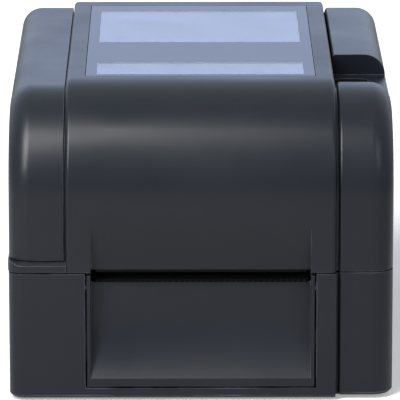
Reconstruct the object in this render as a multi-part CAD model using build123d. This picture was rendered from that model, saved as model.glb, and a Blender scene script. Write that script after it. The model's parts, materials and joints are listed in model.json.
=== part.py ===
from build123d import *

import math
import os

# Desktop thermal-transfer label printer: a clamshell casing over a metal frame, a hinged
# ribbon and print mechanism, and a label path from the roll bay to the front exit.
#
# The frame: +Z up, +Y to the rear, +X to the right as seen from the front. The origin is the
# centre of the footprint, on the surface that the feet stand on. Lengths are millimetres.
# An inset is measured inward along X, and a setback along Y from the front or the rear face.

# Overall size
width = 204.0
depth = 280.0
height = 164.0

# Casing
wall = 2.5
shoulder_width = 30.5       # from each side of the printer to the raised centre band
band_step = 3.5             # the centre band stands this far above the shoulders
front_step = 3.0            # and this far in front of them
front_curve = 54.0
rear_curve = 18.0
side_round = 11.5
base_round = 8.0
base_bevel = 1.6
edge_round = 2.2
inner_round = 2.0           # on the right side's edges along the seam
parting_z = 69.5            # top edge of the base
parting_gap = 0.6           # from there to the lower edge of the cover
side_inset = 0.4            # the left sides lie this far behind the ledge
seam_left = 0.8
seam_right = 1.2
cover_lift = 0.6            # the right lower cover ends this far above the case's underside
floor_gap = 0.3             # between the case's floor and the right lower cover
flange_depth = 16.0
flange_wall = 1.9
tongue_gap = 0.2            # the tongue under each shoulder's edge
tongue_wall = 1.8
tongue_reach = 6.0
ledge_height = 5.6
ledge_drop = 2.0
ledge_wall = 5.0
ledge_gap = 0.35
foot_height = 1.5
foot_radius = 8.0
foot_inset = 22.0
foot_inset_right = 14.0     # from the centre band's side
foot_setback = 24.0

# Cuts and joined forms
past = 5.0                  # a cut runs this far past the face that it opens
sunk = 0.5                  # a joined form runs this far into its neighbour

# Cover hinge
hinge_inset = 10.0          # from the rear face to the pin, and from the cover's foot up to it
pin_radius = 2.5
turn_clearance = 0.06       # radial, in every turning fit
press_clearance = 0.02      # radial, in every fixed fit
eye_radius = 5.5
ear_inset = 12.5            # from the centre band's side to the bracket's ear
ear_thick = 4.0
ear_notch = 1.2
lug_inset = 7.5             # from the centre band's side to the cover's lug
lug_thick = 4.0
bracket_sheet = 2.0
bracket_bottom = 40.0
bracket_top = 56.0

# Label exit
exit_inset = 10.4           # from the centre band's side to the opening in the case
panel_gap = 0.8
panel_bottom = 8.0
panel_top = 68.5
panel_rail = 2.1
panel_foot = 4.4
clip_bottom = 30.0
clip_height = 8.0
clip_reach = 3.0
chute_depth = 10.0
chute_wall = 2.0
chute_top = 63.0
chute_bend = 46.0           # height where the chute starts to curve forward
scoop_inset = 13.5
scoop_top = 94.6
scoop_depth = 8.0
tear_height = 1.4
tear_depth = 5.0
tear_overhang = 1.0
tooth_pitch = 3.0
tooth_depth = 1.2

# Window in the cover
window_inset = 10.0
window_front = 58.4         # from the front face
window_rear = 28.6          # from the rear face
window_thick = 2.0
window_ledge = 3.0
window_gap = 0.3
window_rim = 5.0            # the rim round the opening hangs this far below the top
rim_wall = 1.8

# Control saddle in the right shoulder
saddle_front = 59.0         # from the front face
saddle_length = 72.0
saddle_depth = 15.0         # from the top of the centre band to the saddle's floor
control_inset = 2.2         # from the saddle's front edge to the control panel
control_length = 60.0
control_width = 17.5
control_thick = 2.0
control_side = 1.2          # from the shoulder's inner edge to the control panel
control_flange = 1.0        # of the panel, under the saddle's floor
control_board = 1.6
control_post = 2.0
button_length = 20.0
button_width = 12.0
button_place = 34.0         # from the control panel's front edge to the button's centre
button_rise = 1.4
button_stem = 4.0
button_travel = 1.0
button_gap = 0.3
switch_half = 3.0
switch_height = 1.5
led_length = 12.0
led_width = 3.0
led_place = 6.0             # from the control panel's front edge

# Metal frame in the base
plate = 2.0
frame_inset = 8.5           # from the centre band's side to the inner face of a side plate
frame_bottom = 9.0
frame_sheet = 1.5
frame_top = 66.0
frame_low = 52.0            # top edge of the side plates beside the roll bay
frame_setback = 13.0
frame_rear_setback = 10.0
frame_foot_setback = 70.0
frame_mid_setback = 144.0   # from the front face to the cross strip
frame_rear_foot = 16.0      # from the rear face
foot_half = 5.0
boss_radius = 3.6
screw_radius = 1.5
screw_head = 2.8
screw_head_height = 1.8

# Platen and its drive
platen_setback = 24.0
platen_z = 56.5
platen_radius = 8.0
platen_end = 6.0            # from a side plate to the end of the rubber
platen_shaft = 3.0
bush_radius = 6.0
bush_flange = 7.5
bush_flange_thick = 1.2
gear_module = 0.8
platen_teeth = 24
idler_small_teeth = 16
idler_large_teeth = 40
pinion_teeth = 14
gear_width = 4.6
gear_gap = 0.9
idler_angle = -60.0
pinion_angle = -45.0
backlash = 0.16
post_radius = 2.5
motor_size = 33.0
motor_length = 30.0
motor_bevel = 3.0
motor_collar = 7.6
motor_hole = 8.0
motor_shaft = 2.5
shaft_depth = 9.0           # the motor's shaft ends this far inside its body

# Label roll bay
roll_setback = 78.0         # from the rear face to the roll's centre
roll_z = 75.0
roll_radius = 62.0
tray_wall = 2.2
tray_gap = 0.4
tray_rear_inset = 6.5       # from a side plate to the tray's rear deck
deck_z = 62.0
deck_setback = 35.0
rear_deck_z = 59.0
rib_wall = 2.2
guide_inset = 4.0           # from a side plate to the inner face of a guide when wide open
guide_thick = 3.0
guide_travel = 46.0
guide_clearance = 0.4
guide_foot_half = 32.0
guide_cap_radius = 20.0
guide_cap_z = 90.0
guide_slot_low = 32.0
guide_slot_high = 48.0
guide_slot_radius = 7.0
hub_radius = 12.3
hub_length = 7.0
hub_wall = 3.0
rack_module = 1.0
rack_width = 4.6
rack_height = 3.6
rack_bottom = 4.6
guide_pinion_teeth = 16

# Label sensors
sensor_setback = 68.0
sensor_slot = 9.0
sensor_travel = 40.0
sensor_width = 18.0
sensor_foot = 4.0
gap_sensor_inset = 27.0     # from a side plate to the sensor's centre
gap_sensor_back = 16.0      # behind the carriage's slot
gap_sensor_width = 20.0
gap_sensor_depth = 8.0
gap_sensor_flange = 2.0

# Print mechanism
pivot_setback = 132.0
pivot_z = 88.0
pivot_radius = 3.0
pivot_boss = 10.2
arm_gap = 1.5               # between a side plate of the frame and one of the mechanism
arm_round = 17.0
arm_eye = 9.0
arm_nose = 7.0
supply_setback = 102.0
supply_z = 108.0
rewind_setback = 44.0
rewind_z = 116.0
journal_radius = 3.0
spindle_radius = 6.0
core_radius = 12.4
spindle_inset = 7.5         # from a side plate to the spindle's end disc
fin_thick = 1.6
fins = 3
disc_radius = 15.0
disc_thick = 2.0
brake_radius = 10.0
brake_thick = 3.6
rewind_teeth = 36
ribbon_pinion_teeth = 12
ribbon_pinion_angle = 235.0
ribbon_motor_radius = 12.0
ribbon_motor_length = 22.0
ribbon_motor_flange = 1.6
ribbon_shaft = 1.0
pillar_radius = 2.0
pillar_ring = 9.0
head_setback = 16.0
head_depth = 20.0
head_height = 5.0
head_inset = 3.5
head_lift = 0.4
sink_base = 4.0
sink_height = 12.0
sink_fins = 5
sink_fin = 1.6
carrier_thick = 2.0
rod_radius = 2.0
spring_radius = 3.6
spring_height = 4.0
spring_wire = 0.9
spring_turns = 3
spring_x = 32.0
spring_pad = 6.0

# Cover latches
latch_setback = 88.0
latch_pivot_z = 104.0
latch_pivot_inset = 7.5     # from the side face to the pin
latch_pin = 2.0
latch_barrel = 4.2
latch_thick = 2.8
latch_bottom = 54.5
latch_hook = 4.0
latch_ear = 3.0
tab_length = 22.0
tab_height = 13.4
tab_bottom = 78.3
tab_gap = 0.4
catch_gap = 0.4
catch_height = 3.4
catch_reach = 2.8

# Electronics
board_setback = 5.0         # from the rear face
board_depth = 51.0
board_inset = 8.0           # from a side plate
board_thick = 1.6
board_stand = 2.5
board_screw_inset = 4.0
board_screw_rear = 18.0
board_screw_head = 1.6
processor_x = -4.0
processor_size = 20.0
processor_height = 2.4
driver_x = 24.0
driver_size = 12.0
driver_height = 1.6
capacitor_x = -44.0
capacitor_pitch = 8.0
capacitor_radius = 3.2
capacitor_height = 4.5
part_row = 19.0             # from the board's front edge to the middle of its components
io_setback = 2.6
io_inset = 7.0              # from a side plate
io_bottom = 6.9
io_top = 34.0
io_sheet = 1.5
io_border = 2.0
socket_depth = 15.0
socket_wall = 1.4
socket_gap = 0.2
sockets = {                 # place, width, height, and the mouth's width and height
    "usb_port": (-0.325, 12.0, 10.8, 8.6, 7.8),
    "host_port": (0.035, 14.4, 7.0, 12.6, 4.9),
    "network_port": (0.43, 16.0, 13.4, 11.8, 8.4),
}
inlet_place = -0.75         # these places are shares of the rear panel's half width
inlet_size = 14.0
inlet_radius = 5.4
switch_place = 0.785
switch_z = 22.0
switch_wide = 13.0
switch_high = 19.0
switch_rim = 1.1
switch_depth = 18.0
rocker_wide = 8.6
rocker_high = 13.0
rocker_lean = 8.0           # degrees to each side of upright
rocker_depth = 4.5
rocker_set = 3.0            # from the panel's face in to the rocker's pin
rocker_pin = 1.2

# Derived places
half_w = width / 2
front_y = -depth / 2
rear_y = depth / 2
band_half = half_w - shoulder_width
floor_top = foot_height + wall
cover_foot = parting_z + parting_gap
hinge_y = rear_y - hinge_inset
hinge_z = cover_foot + hinge_inset
ear_x = band_half - ear_inset
lug_x = band_half - lug_inset
shoulder_top = height - band_step
shoulder_front = front_y + front_step
shoulder_curve = front_curve - front_step
left_x = half_w - side_inset
deep = parting_z - 2 * flange_depth
exit_half = band_half - exit_inset
scoop_half = band_half - scoop_inset
window_half = band_half - window_inset
saddle_y0 = front_y + saddle_front
saddle_y1 = saddle_y0 + saddle_length
saddle_floor = height - saddle_depth
control_x0 = band_half + seam_right + control_side
control_y0 = saddle_y0 + control_inset
control_top = saddle_floor - wall
control_low = control_top - control_thick
button_x = control_x0 + control_width / 2
button_y = control_y0 + button_place
frame_inner = band_half - frame_inset
frame_outer = frame_inner + plate
frame_front = front_y + frame_setback
frame_rear = rear_y - frame_rear_setback
frame_mid = front_y + frame_mid_setback
frame_feet = (front_y + frame_foot_setback, frame_mid, rear_y - frame_rear_foot)
screw_x = frame_inner - 0.6 * foot_half
platen_y = front_y + platen_setback
platen_half = frame_inner - platen_end
chute_y = front_y + chute_depth
gear_plane = frame_outer + gear_gap
large_plane = gear_plane + gear_width + gear_gap
idler_reach = gear_module * (platen_teeth + idler_small_teeth) / 2
pinion_reach = gear_module * (idler_large_teeth + pinion_teeth) / 2
idler_y = platen_y + idler_reach * math.cos(math.radians(idler_angle))
idler_z = platen_z + idler_reach * math.sin(math.radians(idler_angle))
pinion_y = idler_y + pinion_reach * math.cos(math.radians(pinion_angle))
pinion_z = idler_z + pinion_reach * math.sin(math.radians(pinion_angle))
roll_y = rear_y - roll_setback
tray_half = frame_inner - tray_gap
tray_rear_half = frame_inner - tray_rear_inset
deck_front = front_y + deck_setback
guide_half = frame_inner - guide_inset
guide_outer = guide_half + guide_thick
guide_foot = roll_z - math.sqrt(roll_radius ** 2 - guide_cap_radius ** 2)
rack_pitch_r = rack_module * guide_pinion_teeth / 2
sensor_y = front_y + sensor_setback
gap_sensor_x = frame_inner - gap_sensor_inset
pivot_y = front_y + pivot_setback
arm_outer = frame_inner - arm_gap
arm_inner = arm_outer - plate
supply_y = front_y + supply_setback
rewind_y = front_y + rewind_setback
spindle_half = arm_inner - spindle_inset
ribbon_reach = gear_module * (rewind_teeth + ribbon_pinion_teeth) / 2
ribbon_pinion_y = rewind_y + ribbon_reach * math.cos(math.radians(ribbon_pinion_angle))
ribbon_pinion_z = rewind_z + ribbon_reach * math.sin(math.radians(ribbon_pinion_angle))
ribbon_plane = arm_outer + gear_gap
ribbon_motor_x = ribbon_plane + gear_width + gear_gap
head_front = front_y + head_setback
head_half = arm_inner - head_inset
head_z = platen_z + platen_radius + head_lift
sink_top = head_z + head_height + sink_height
carrier_z = sink_top + spring_height
latch_x = half_w - latch_pivot_inset
latch_y = front_y + latch_setback
latch_y0 = latch_y - tab_length / 2
latch_y1 = latch_y + tab_length / 2
board_half = frame_inner - board_inset
board_y1 = rear_y - board_setback
board_y0 = board_y1 - board_depth
board_low = floor_top + board_stand
board_top = board_low + board_thick
io_front = rear_y - io_setback
io_half = frame_inner - io_inset
inlet_x = io_half * inlet_place
switch_x = io_half * switch_place


def block(x0, x1, y0, y1, z0, z1):
    """A box between two corners."""
    return Pos((x0 + x1) / 2, (y0 + y1) / 2, (z0 + z1) / 2) * Box(x1 - x0, y1 - y0, z1 - z0)


def rod_x(x0, x1, y, z, r):
    """A round bar along X."""
    return Pos((x0 + x1) / 2, y, z) * Rot(0, 90, 0) * Cylinder(r, x1 - x0)


def rod_y(y0, y1, x, z, r):
    """A round bar along Y."""
    return Pos(x, (y0 + y1) / 2, z) * Rot(90, 0, 0) * Cylinder(r, y1 - y0)


def rod_z(z0, z1, x, y, r):
    """A round bar along Z."""
    return Pos(x, y, (z0 + z1) / 2) * Cylinder(r, z1 - z0)


def rect(y0, y1, z0, z1):
    """A rectangle in the side view."""
    return Pos((y0 + y1) / 2, (z0 + z1) / 2) * Rectangle(y1 - y0, z1 - z0)


def disc(y, z, r):
    """A disc in the side view."""
    return Pos(y, z) * Circle(r)


def outline(*points):
    """A straight-sided outline, given in either direction round."""
    area = sum(a[0] * b[1] - b[0] * a[1] for a, b in zip(points, points[1:] + points[:1]))
    return Polygon(*(points if area > 0 else points[::-1]), align=None)


def slab(x0, x1, shape):
    """A side view outline made thick along X."""
    return extrude(Plane.YZ.offset(x0) * shape, x1 - x0, dir=(1, 0, 0))


def strut(start, end, radius):
    """A side view bar with round ends between two points."""
    (y0, z0), (y1, z1) = start, end
    turn = math.degrees(math.atan2(z1 - z0, y1 - y0))
    length = math.hypot(y1 - y0, z1 - z0)
    return Pos((y0 + y1) / 2, (z0 + z1) / 2) * Rot(0, 0, turn) * SlotCenterToCenter(length, 2 * radius)


def flip(shape):
    """The mirror image across the centre plane."""
    return mirror(shape, Plane.YZ)


def both(shape):
    """The shape and its mirror image as one group."""
    return shape + flip(shape)


def end_edges(shape, x, lowest):
    """The edges of an end face square to X, above a height."""
    return [e for e in shape.edges()
            if abs(e.center().X - x) < 0.01 and e.center().Z > lowest + 0.01]


def upright_edges(shape, x, y):
    """The upright edges at a corner of the footprint."""
    return [e for e in shape.edges().filter_by(Axis.Z)
            if abs(e.center().X - x) < 0.01 and abs(e.center().Y - y) < 0.01]


def gear_outline(teeth, module, turn):
    """A gear's outline with 20 degree flanks, each tooth thinned by half the backlash."""
    pressure = math.radians(20)
    pitch_r = module * teeth / 2
    base_r = pitch_r * math.cos(pressure)
    root_r = pitch_r - 1.2 * module
    tip_r = pitch_r + 0.92 * module
    half_tooth = math.pi / (2 * teeth) - backlash / (2 * pitch_r)
    half_base = half_tooth + math.tan(pressure) - pressure
    flank = [(root_r, half_base)]
    for r in (max(base_r, root_r) + 0.05, pitch_r, tip_r):
        roll = math.acos(min(1.0, base_r / r))
        flank.append((r, half_base - math.tan(roll) + roll))
    points = []
    for tooth in range(teeth):
        middle = math.radians(turn) + 2 * math.pi * tooth / teeth
        points += [(r * math.cos(middle - a), r * math.sin(middle - a)) for r, a in flank]
        points += [(r * math.cos(middle + a), r * math.sin(middle + a)) for r, a in reversed(flank)]
    return outline(*points)


def gear_x(x0, x1, y, z, teeth, turn):
    """A gear on a shaft along X."""
    return slab(x0, x1, Pos(y, z) * gear_outline(teeth, gear_module, turn))


def side_view(y0, y1, top, r_front, r_rear):
    """The cover's side view with its front and rear curves, running down past the parting."""
    face = rect(y0, y1, deep, top)
    face = fillet(face.vertices().group_by(Axis.Y)[-1].sort_by(Axis.X)[0], r_front)
    return fillet(face.vertices().group_by(Axis.Y)[-1].sort_by(Axis.X)[-1], r_rear)


def band_view(inset=0.0):
    """Side view of the centre band, moved in all round."""
    return side_view(front_y + inset, rear_y - inset, height - inset,
                     front_curve - inset, rear_curve - inset)


def shoulder_view(inset=0.0):
    """Side view of a shoulder, moved in all round."""
    return side_view(shoulder_front + inset, rear_y - inset, shoulder_top - inset,
                     shoulder_curve - inset, rear_curve - inset)


def above_foot(inset=0.0, bottom=None):
    """The space above the cover's foot, rounded about the hinge so that the cover swings clear."""
    low = cover_foot + inset if bottom is None else bottom
    face = rect(front_y - past, rear_y - inset, cover_foot + inset, height + past)
    face = fillet(face.vertices().group_by(Axis.Y)[0].sort_by(Axis.X)[-1], hinge_inset - inset)
    if low < cover_foot + inset:
        face += rect(front_y - past, hinge_y, low, cover_foot + inset + sunk)
    return slab(-half_w - past, half_w + past, face)


def saddle_space(lower=0.0, grow=0.0):
    """The space over the control saddle in the right shoulder."""
    return block(band_half + tongue_gap, half_w + past, saddle_y0 - grow, saddle_y1 + grow,
                 saddle_floor - lower, height + past)


def lid_shell():
    """The cover's centre band with its flanges, ledge, scoop, window opening and hinge lugs."""
    outer = slab(-band_half, band_half, band_view())
    for x in (-band_half, band_half):
        outer = fillet(end_edges(outer, x, deep), edge_round)
    inside = slab(-band_half + flange_wall, band_half - flange_wall, band_view(wall))
    mouth = slab(-band_half - past, band_half + past, band_view(flange_depth))
    shell = (outer - inside - mouth) & above_foot()
    curl = slab(-band_half + sunk, band_half - sunk, band_view(sunk)) & above_foot()
    curl -= above_foot(wall, bottom=deep)
    curl -= slab(-half_w, half_w, rect(front_y, hinge_y - sunk, deep, height))
    shell += curl
    shell += tongue() + ledge() + scoop_lining() + window_rim_walls()
    shell -= slab(-scoop_half, scoop_half, scoop_face(scoop_depth))
    shell += both(hinge_lug())
    shell -= rod_x(-lug_x - lug_thick - past, lug_x + lug_thick + past, hinge_y, hinge_z,
                   pin_radius + turn_clearance)
    notch = block(ear_x - ear_notch, ear_x + ear_thick + ear_notch, hinge_y - eye_radius,
                  rear_y + past, deep, hinge_z + eye_radius + 2 * ear_notch)
    shell -= both(notch)
    shell -= window_space(window_thick, 0.0)
    return shell - window_space(window_thick + window_rim, window_ledge)


def hinge_lug():
    """The right hinge lug of the cover, with the web that joins it to the band."""
    eye = slab(lug_x, lug_x + lug_thick,
               strut((hinge_y, hinge_z), (hinge_y, hinge_z + 2 * eye_radius), eye_radius))
    web = block(lug_x, band_half - sunk, hinge_y - eye_radius, rear_y - sunk,
                hinge_z + eye_radius, hinge_z + 3 * eye_radius)
    return eye + (web & above_foot(sunk))


def tongue():
    """Strips that reach from the band's flanges under the edges of the shoulders."""
    ring = shoulder_view(wall + tongue_gap) - shoulder_view(wall + tongue_gap + tongue_wall)
    strip = slab(band_half - flange_wall, band_half + tongue_reach, ring) & above_foot()
    strip &= above_foot(wall + tongue_gap, bottom=deep)
    low = block(-half_w, 0, front_y, rear_y, deep, cover_foot + ledge_height)
    behind = block(band_half, half_w, saddle_y0, rear_y - rear_curve, saddle_floor - wall, height)
    right = strip - saddle_space(2 * wall, wall + tongue_gap) - behind
    return right + (flip(strip) - low)


def ledge():
    """The foot of the band that runs out to the left under the left shoulder."""
    top = cover_foot + ledge_height
    face = outline((front_y, cover_foot), (rear_y, cover_foot), (rear_y, top),
                   (front_y + front_step, top), (front_y, top - ledge_drop))
    column = block(-half_w, -band_half + sunk, front_y, rear_y, deep, height)
    column = fillet(upright_edges(column, -half_w, front_y) + upright_edges(column, -half_w, rear_y),
                    base_round)
    space = block(-half_w + ledge_wall, -band_half + past, front_y + ledge_wall, rear_y - ledge_wall,
                  deep, height)
    return (slab(-half_w, -band_half + sunk, face) & column & above_foot()) - space


def scoop_face(reach):
    """Side view of the scoop over the label exit, cut from the front."""
    slope = scoop_depth / (scoop_top - cover_foot)
    return outline((front_y - reach, cover_foot - 1), (front_y + scoop_depth + slope, cover_foot - 1),
                   (front_y, scoop_top), (front_y - reach, scoop_top))


def scoop_lining():
    """The wall behind the scoop."""
    lining = slab(-scoop_half - wall, scoop_half + wall, Pos(wall, 0) * scoop_face(0.0))
    lining -= slab(-half_w, half_w, rect(front_y - past, front_y + sunk, deep, height))
    return lining & above_foot()


def window_rim_walls():
    """Stiffening rim that hangs from the cover round the window's opening."""
    low, high = height - window_thick - window_rim, height - wall + sunk
    return window_box(low, high, window_ledge - rim_wall) - window_box(low, high, window_ledge)


def window_box(low, high, inset):
    """A box with the window's outline, moved in all round, between two heights."""
    return block(-window_half + inset, window_half - inset, front_y + window_front + inset,
                 rear_y - window_rear - inset, low, high)


def window_space(thick, ledge_width):
    """The window's seat, or the opening inside its ledge."""
    return window_box(height - thick, height + past, ledge_width - window_gap)


def window():
    """Clear window that lies flush in the top of the cover."""
    pane = window_box(height - window_thick, height, 0.0)
    return fillet(pane.edges().filter_by(Axis.Z), window_gap * 3)


def shoulder(x_inner, x_outer, bottom):
    """A shoulder cover on the right, a moulded skin open towards the centre band."""
    outer = slab(x_inner, x_outer, shoulder_view())
    outer = fillet(end_edges(outer, x_outer, deep), side_round)
    inside = slab(x_inner - past, x_outer - wall, shoulder_view(wall))
    inside = fillet(end_edges(inside, x_outer - wall, deep), side_round - wall)
    over = block(x_inner - past, half_w + past, front_y, rear_y, bottom, height)
    return outer, inside & above_foot(wall, bottom=deep), over & above_foot()


def latch_window():
    """The opening for the latch tab, in the right side."""
    return block(half_w - 2 * wall, half_w + past, latch_y0 - tab_gap, latch_y1 + tab_gap,
                 tab_bottom - 2 * tab_gap, tab_bottom + tab_height + tab_gap)


def latch_ears(x_outer):
    """Two ears inside the right shoulder that hold the latch pin."""
    y0 = latch_y1 + tab_gap
    ear = block(latch_x - latch_barrel, x_outer - sunk, y0, y0 + latch_ear,
                latch_pivot_z - latch_barrel, latch_pivot_z + latch_barrel)
    ears = ear + mirror(ear, Plane.XZ.offset(-latch_y))
    return ears - rod_y(latch_y - tab_length, latch_y + tab_length, latch_x, latch_pivot_z,
                        latch_pin + press_clearance)


def right_shoulder_cover():
    """Right shoulder with the saddle for the control panel."""
    x_inner = band_half + seam_right
    outer, inside, over = shoulder(x_inner, half_w, cover_foot)
    outer = fillet(end_edges(outer, x_inner, deep), inner_round)
    shell = outer - saddle_space() - (inside - saddle_space(wall, wall))
    shell = (shell & over) - latch_window() + latch_ears(half_w)
    return shell - control_outline(0.0, saddle_floor - 2 * wall, saddle_floor + sunk)


def left_shoulder_cover():
    """Left shoulder, which stands on the ledge of the cover."""
    outer, inside, over = shoulder(band_half + seam_left, left_x,
                                   cover_foot + ledge_height + ledge_gap)
    shell = (outer - inside) & over
    return flip(shell - latch_window() + latch_ears(left_x))


def control_outline(grow, low, high):
    """The control panel's rounded outline, grown all round, between two heights."""
    panel = block(control_x0 - grow, control_x0 + control_width + grow, control_y0 - grow,
                  control_y0 + control_length + grow, low, high)
    return fillet(panel.edges().filter_by(Axis.Z), control_width / 6)


def control_panel():
    """Dark insert under the saddle's opening, with the status light and the feed button in it."""
    panel = control_outline(control_flange, control_low, control_top)
    return panel - feed_button_space(button_gap) - led_space(tongue_gap / 2)


def feed_button_space(gap):
    """The feed button's outline, grown by a gap, well above and below the panel."""
    shape = SlotOverall(button_length + 2 * gap, button_width + 2 * gap, rotation=90)
    return Pos(button_x, button_y, saddle_floor) * extrude(shape, button_length, both=True)


def feed_button():
    """Feed button that slides down in the control panel."""
    low, high = control_low - control_thick, control_top + button_rise
    cap = feed_button_space(0.0) & block(-half_w, half_w, front_y, rear_y, low, high)
    cap = fillet(cap.faces().sort_by(Axis.Z)[-1].edges(), button_rise / 2)
    return cap + rod_z(low - button_stem, low, button_x, button_y, button_width / 5)


def led_space(gap):
    """The status light's outline, grown by a gap."""
    y0 = control_y0 + led_place
    return block(button_x - led_width / 2 - gap, button_x + led_width / 2 + gap, y0 - gap,
                 y0 + led_length + gap, control_low - wall, control_top)


def control_circuit():
    """Small circuit board under the saddle, with the button's switch and two posts."""
    stem_end = control_low - control_thick - button_stem - button_travel
    top = stem_end - button_gap - switch_height
    board = block(control_x0 + sunk, control_x0 + control_width - sunk, control_y0 + wall,
                  control_y0 + control_length - wall, top - control_board, top)
    switch = block(button_x - switch_half, button_x + switch_half, button_y - switch_half,
                   button_y + switch_half, top, top + switch_height)
    inset = 2 * control_post
    posts = [rod_z(top, control_low, control_x0 + inset, y, control_post)
             for y in (control_y0 + inset, control_y0 + control_length - inset)]
    return board + switch + posts[0] + posts[1]


def lower_case():
    """Moulded case of the base: floor, walls, bosses, exit opening and rear openings."""
    x_right = band_half
    shell = block(-left_x, x_right, front_y, rear_y, foot_height, parting_z)
    corners = upright_edges(shell, -left_x, front_y) + upright_edges(shell, -left_x, rear_y)
    shell = fillet(corners, base_round)
    rim = [e for e in shell.faces().sort_by(Axis.Z)[0].edges() if e.center().X < x_right - sunk]
    shell = chamfer(rim, base_bevel)
    inside = block(-left_x + wall, x_right - wall, front_y + wall, rear_y - wall, floor_top, height)
    corners = upright_edges(inside, -left_x + wall, front_y + wall)
    corners += upright_edges(inside, -left_x + wall, rear_y - wall)
    shell -= fillet(corners, base_round - wall)
    shell += floor_tongue() + seam_strips()
    shell -= block(-exit_half, exit_half, front_y - past, front_y + wall + past,
                   panel_bottom - panel_gap, parting_z + past)
    shell -= block(-io_half + io_border, io_half - io_border, rear_y - past, rear_y + past,
                   io_bottom + io_border, io_top - io_border)
    shell -= block(-tray_rear_half, tray_rear_half, rear_y - past, rear_y + past,
                   rear_deck_z + tray_gap, parting_z + past)
    for x in (-screw_x, screw_x):
        for y in frame_feet:
            shell += rod_z(floor_top - sunk, frame_bottom, x, y, boss_radius)
            shell -= rod_z(floor_top, frame_bottom + past, x, y, screw_radius + press_clearance)
    for x, y in board_points():
        shell += rod_z(floor_top - sunk, board_low, x, y, boss_radius)
        shell -= rod_z(floor_top, board_low + past, x, y, screw_radius + press_clearance)
    shell += rod_z(floor_top - sunk, rack_bottom + rack_height + sunk, 0, roll_y, post_radius)
    return shell + flip(catch(left_x - wall))


def seam_strips():
    """Strips of the case that close the groove beside the right lower cover, front and rear."""
    x0, x1 = band_half - sunk, band_half + tongue_reach
    front, rear = shoulder_front + wall + tongue_gap, rear_y - wall - tongue_gap
    low, high = floor_top, parting_z - parting_gap
    return (block(x0, x1, front, front + tongue_wall, low, high)
            + block(x0, x1, rear - tongue_wall, rear, low, high))


def floor_tongue():
    """The case's floor where it reaches to the right inside the right lower cover."""
    inset = wall + floor_gap
    x1, y0, y1 = half_w - inset, shoulder_front + inset, rear_y - inset
    sheet = block(band_half - sunk, x1, y0, y1, foot_height + cover_lift, floor_top + cover_lift)
    return fillet(upright_edges(sheet, x1, y0) + upright_edges(sheet, x1, y1), side_round - wall)


def catch(x_wall):
    """The lip in the right side that the latch hooks under."""
    low = latch_bottom + latch_hook + catch_gap
    return block(x_wall - catch_reach, x_wall + sunk, latch_y0, latch_y1, low, low + catch_height)


def right_lower_cover():
    """Side cover of the base on the right."""
    x0 = band_half + seam_right
    shell = block(x0, half_w, shoulder_front, rear_y, foot_height + cover_lift, parting_z)
    corners = upright_edges(shell, half_w, shoulder_front) + upright_edges(shell, half_w, rear_y)
    shell = fillet(corners, side_round)
    shell = fillet(upright_edges(shell, x0, shoulder_front), inner_round)
    rim = [e for e in shell.faces().sort_by(Axis.Z)[0].edges() if e.center().X > x0 + inner_round / 4]
    shell = chamfer(rim, base_bevel)
    inside = block(x0 - past, half_w - wall, shoulder_front + wall, rear_y - wall, 0, height)
    corners = upright_edges(inside, half_w - wall, shoulder_front + wall)
    corners += upright_edges(inside, half_w - wall, rear_y - wall)
    shell -= fillet(corners, side_round - wall)
    return shell + catch(half_w - wall)


def rubber_feet():
    """Feet under the case."""
    return [rod_z(0, foot_height, x, y, foot_radius)
            for x in (-half_w + foot_inset, band_half - foot_inset_right)
            for y in (front_y + foot_setback, rear_y - foot_setback)]


def main_frame():
    """Metal frame: two side plates on bent feet that carry the platen, motor and mechanism."""
    side = outline((frame_front, frame_bottom), (frame_front, frame_top),
                   (pivot_y - frame_top / 2, frame_top), (pivot_y - pivot_boss, pivot_z),
                   (pivot_y + pivot_boss, pivot_z), (roll_y - guide_slot_low, frame_low),
                   (frame_rear, frame_low), (frame_rear, frame_bottom))
    side += disc(pivot_y, pivot_z, pivot_boss)
    side -= disc(pivot_y, pivot_z, pivot_radius + press_clearance)
    side -= disc(platen_y, platen_z, bush_radius + press_clearance)
    low, high = frame_bottom + foot_half + plate, frame_low - 2 * foot_half
    side -= rect(frame_feet[0] + 3 * foot_half, frame_mid - 3 * foot_half, low, frame_low - plate)
    side -= rect(frame_mid + 2 * foot_half, roll_y - 2 * foot_half, low, high)
    side -= rect(roll_y + 2 * foot_half, frame_rear - 4 * foot_half, low, high)
    left = slab(-frame_outer, -frame_inner, side - disc(pinion_y, pinion_z, motor_hole))
    window_side = rect(platen_y + 2 * bush_radius, frame_feet[0] + foot_half, low, frame_low - plate)
    frame = left + slab(frame_inner, frame_outer, side - window_side)
    for y in frame_feet:
        inner = 0.0 if y == frame_mid else frame_inner - 2 * foot_half
        foot = block(inner, frame_outer - sunk, y - foot_half, y + foot_half, frame_bottom,
                     frame_bottom + frame_sheet)
        foot -= rod_z(0, frame_top, screw_x, y, screw_radius + tongue_gap / 2)
        frame += both(foot)
    return frame


def frame_screws():
    """Screws that hold the frame's feet to the bosses of the case."""
    z = frame_bottom + frame_sheet
    return [rod_z(floor_top + sunk, z, x, y, screw_radius)
            + rod_z(z, z + screw_head_height, x, y, screw_head)
            for x in (-screw_x, screw_x) for y in frame_feet]


def pivot_rod():
    """Steel rod of the print mechanism, held in the frame's side plates."""
    rod = rod_x(-frame_outer - plate, frame_outer + plate, pivot_y, pivot_z, pivot_radius)
    return chamfer(rod.edges(), pivot_radius / 8)


def platen_bushes():
    """Flanged bushes in the frame for the platen's shaft."""
    bush = rod_x(frame_inner, frame_outer, platen_y, platen_z, bush_radius)
    bush += rod_x(frame_inner - bush_flange_thick, frame_inner, platen_y, platen_z, bush_flange)
    bush -= rod_x(0, half_w, platen_y, platen_z, platen_shaft + turn_clearance)
    return [bush, flip(bush)]


def platen_axle():
    """Steel shaft of the platen."""
    rod = rod_x(-gear_plane - gear_width, frame_outer + plate, platen_y, platen_z, platen_shaft)
    return chamfer(rod.edges(), platen_shaft / 10)


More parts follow.
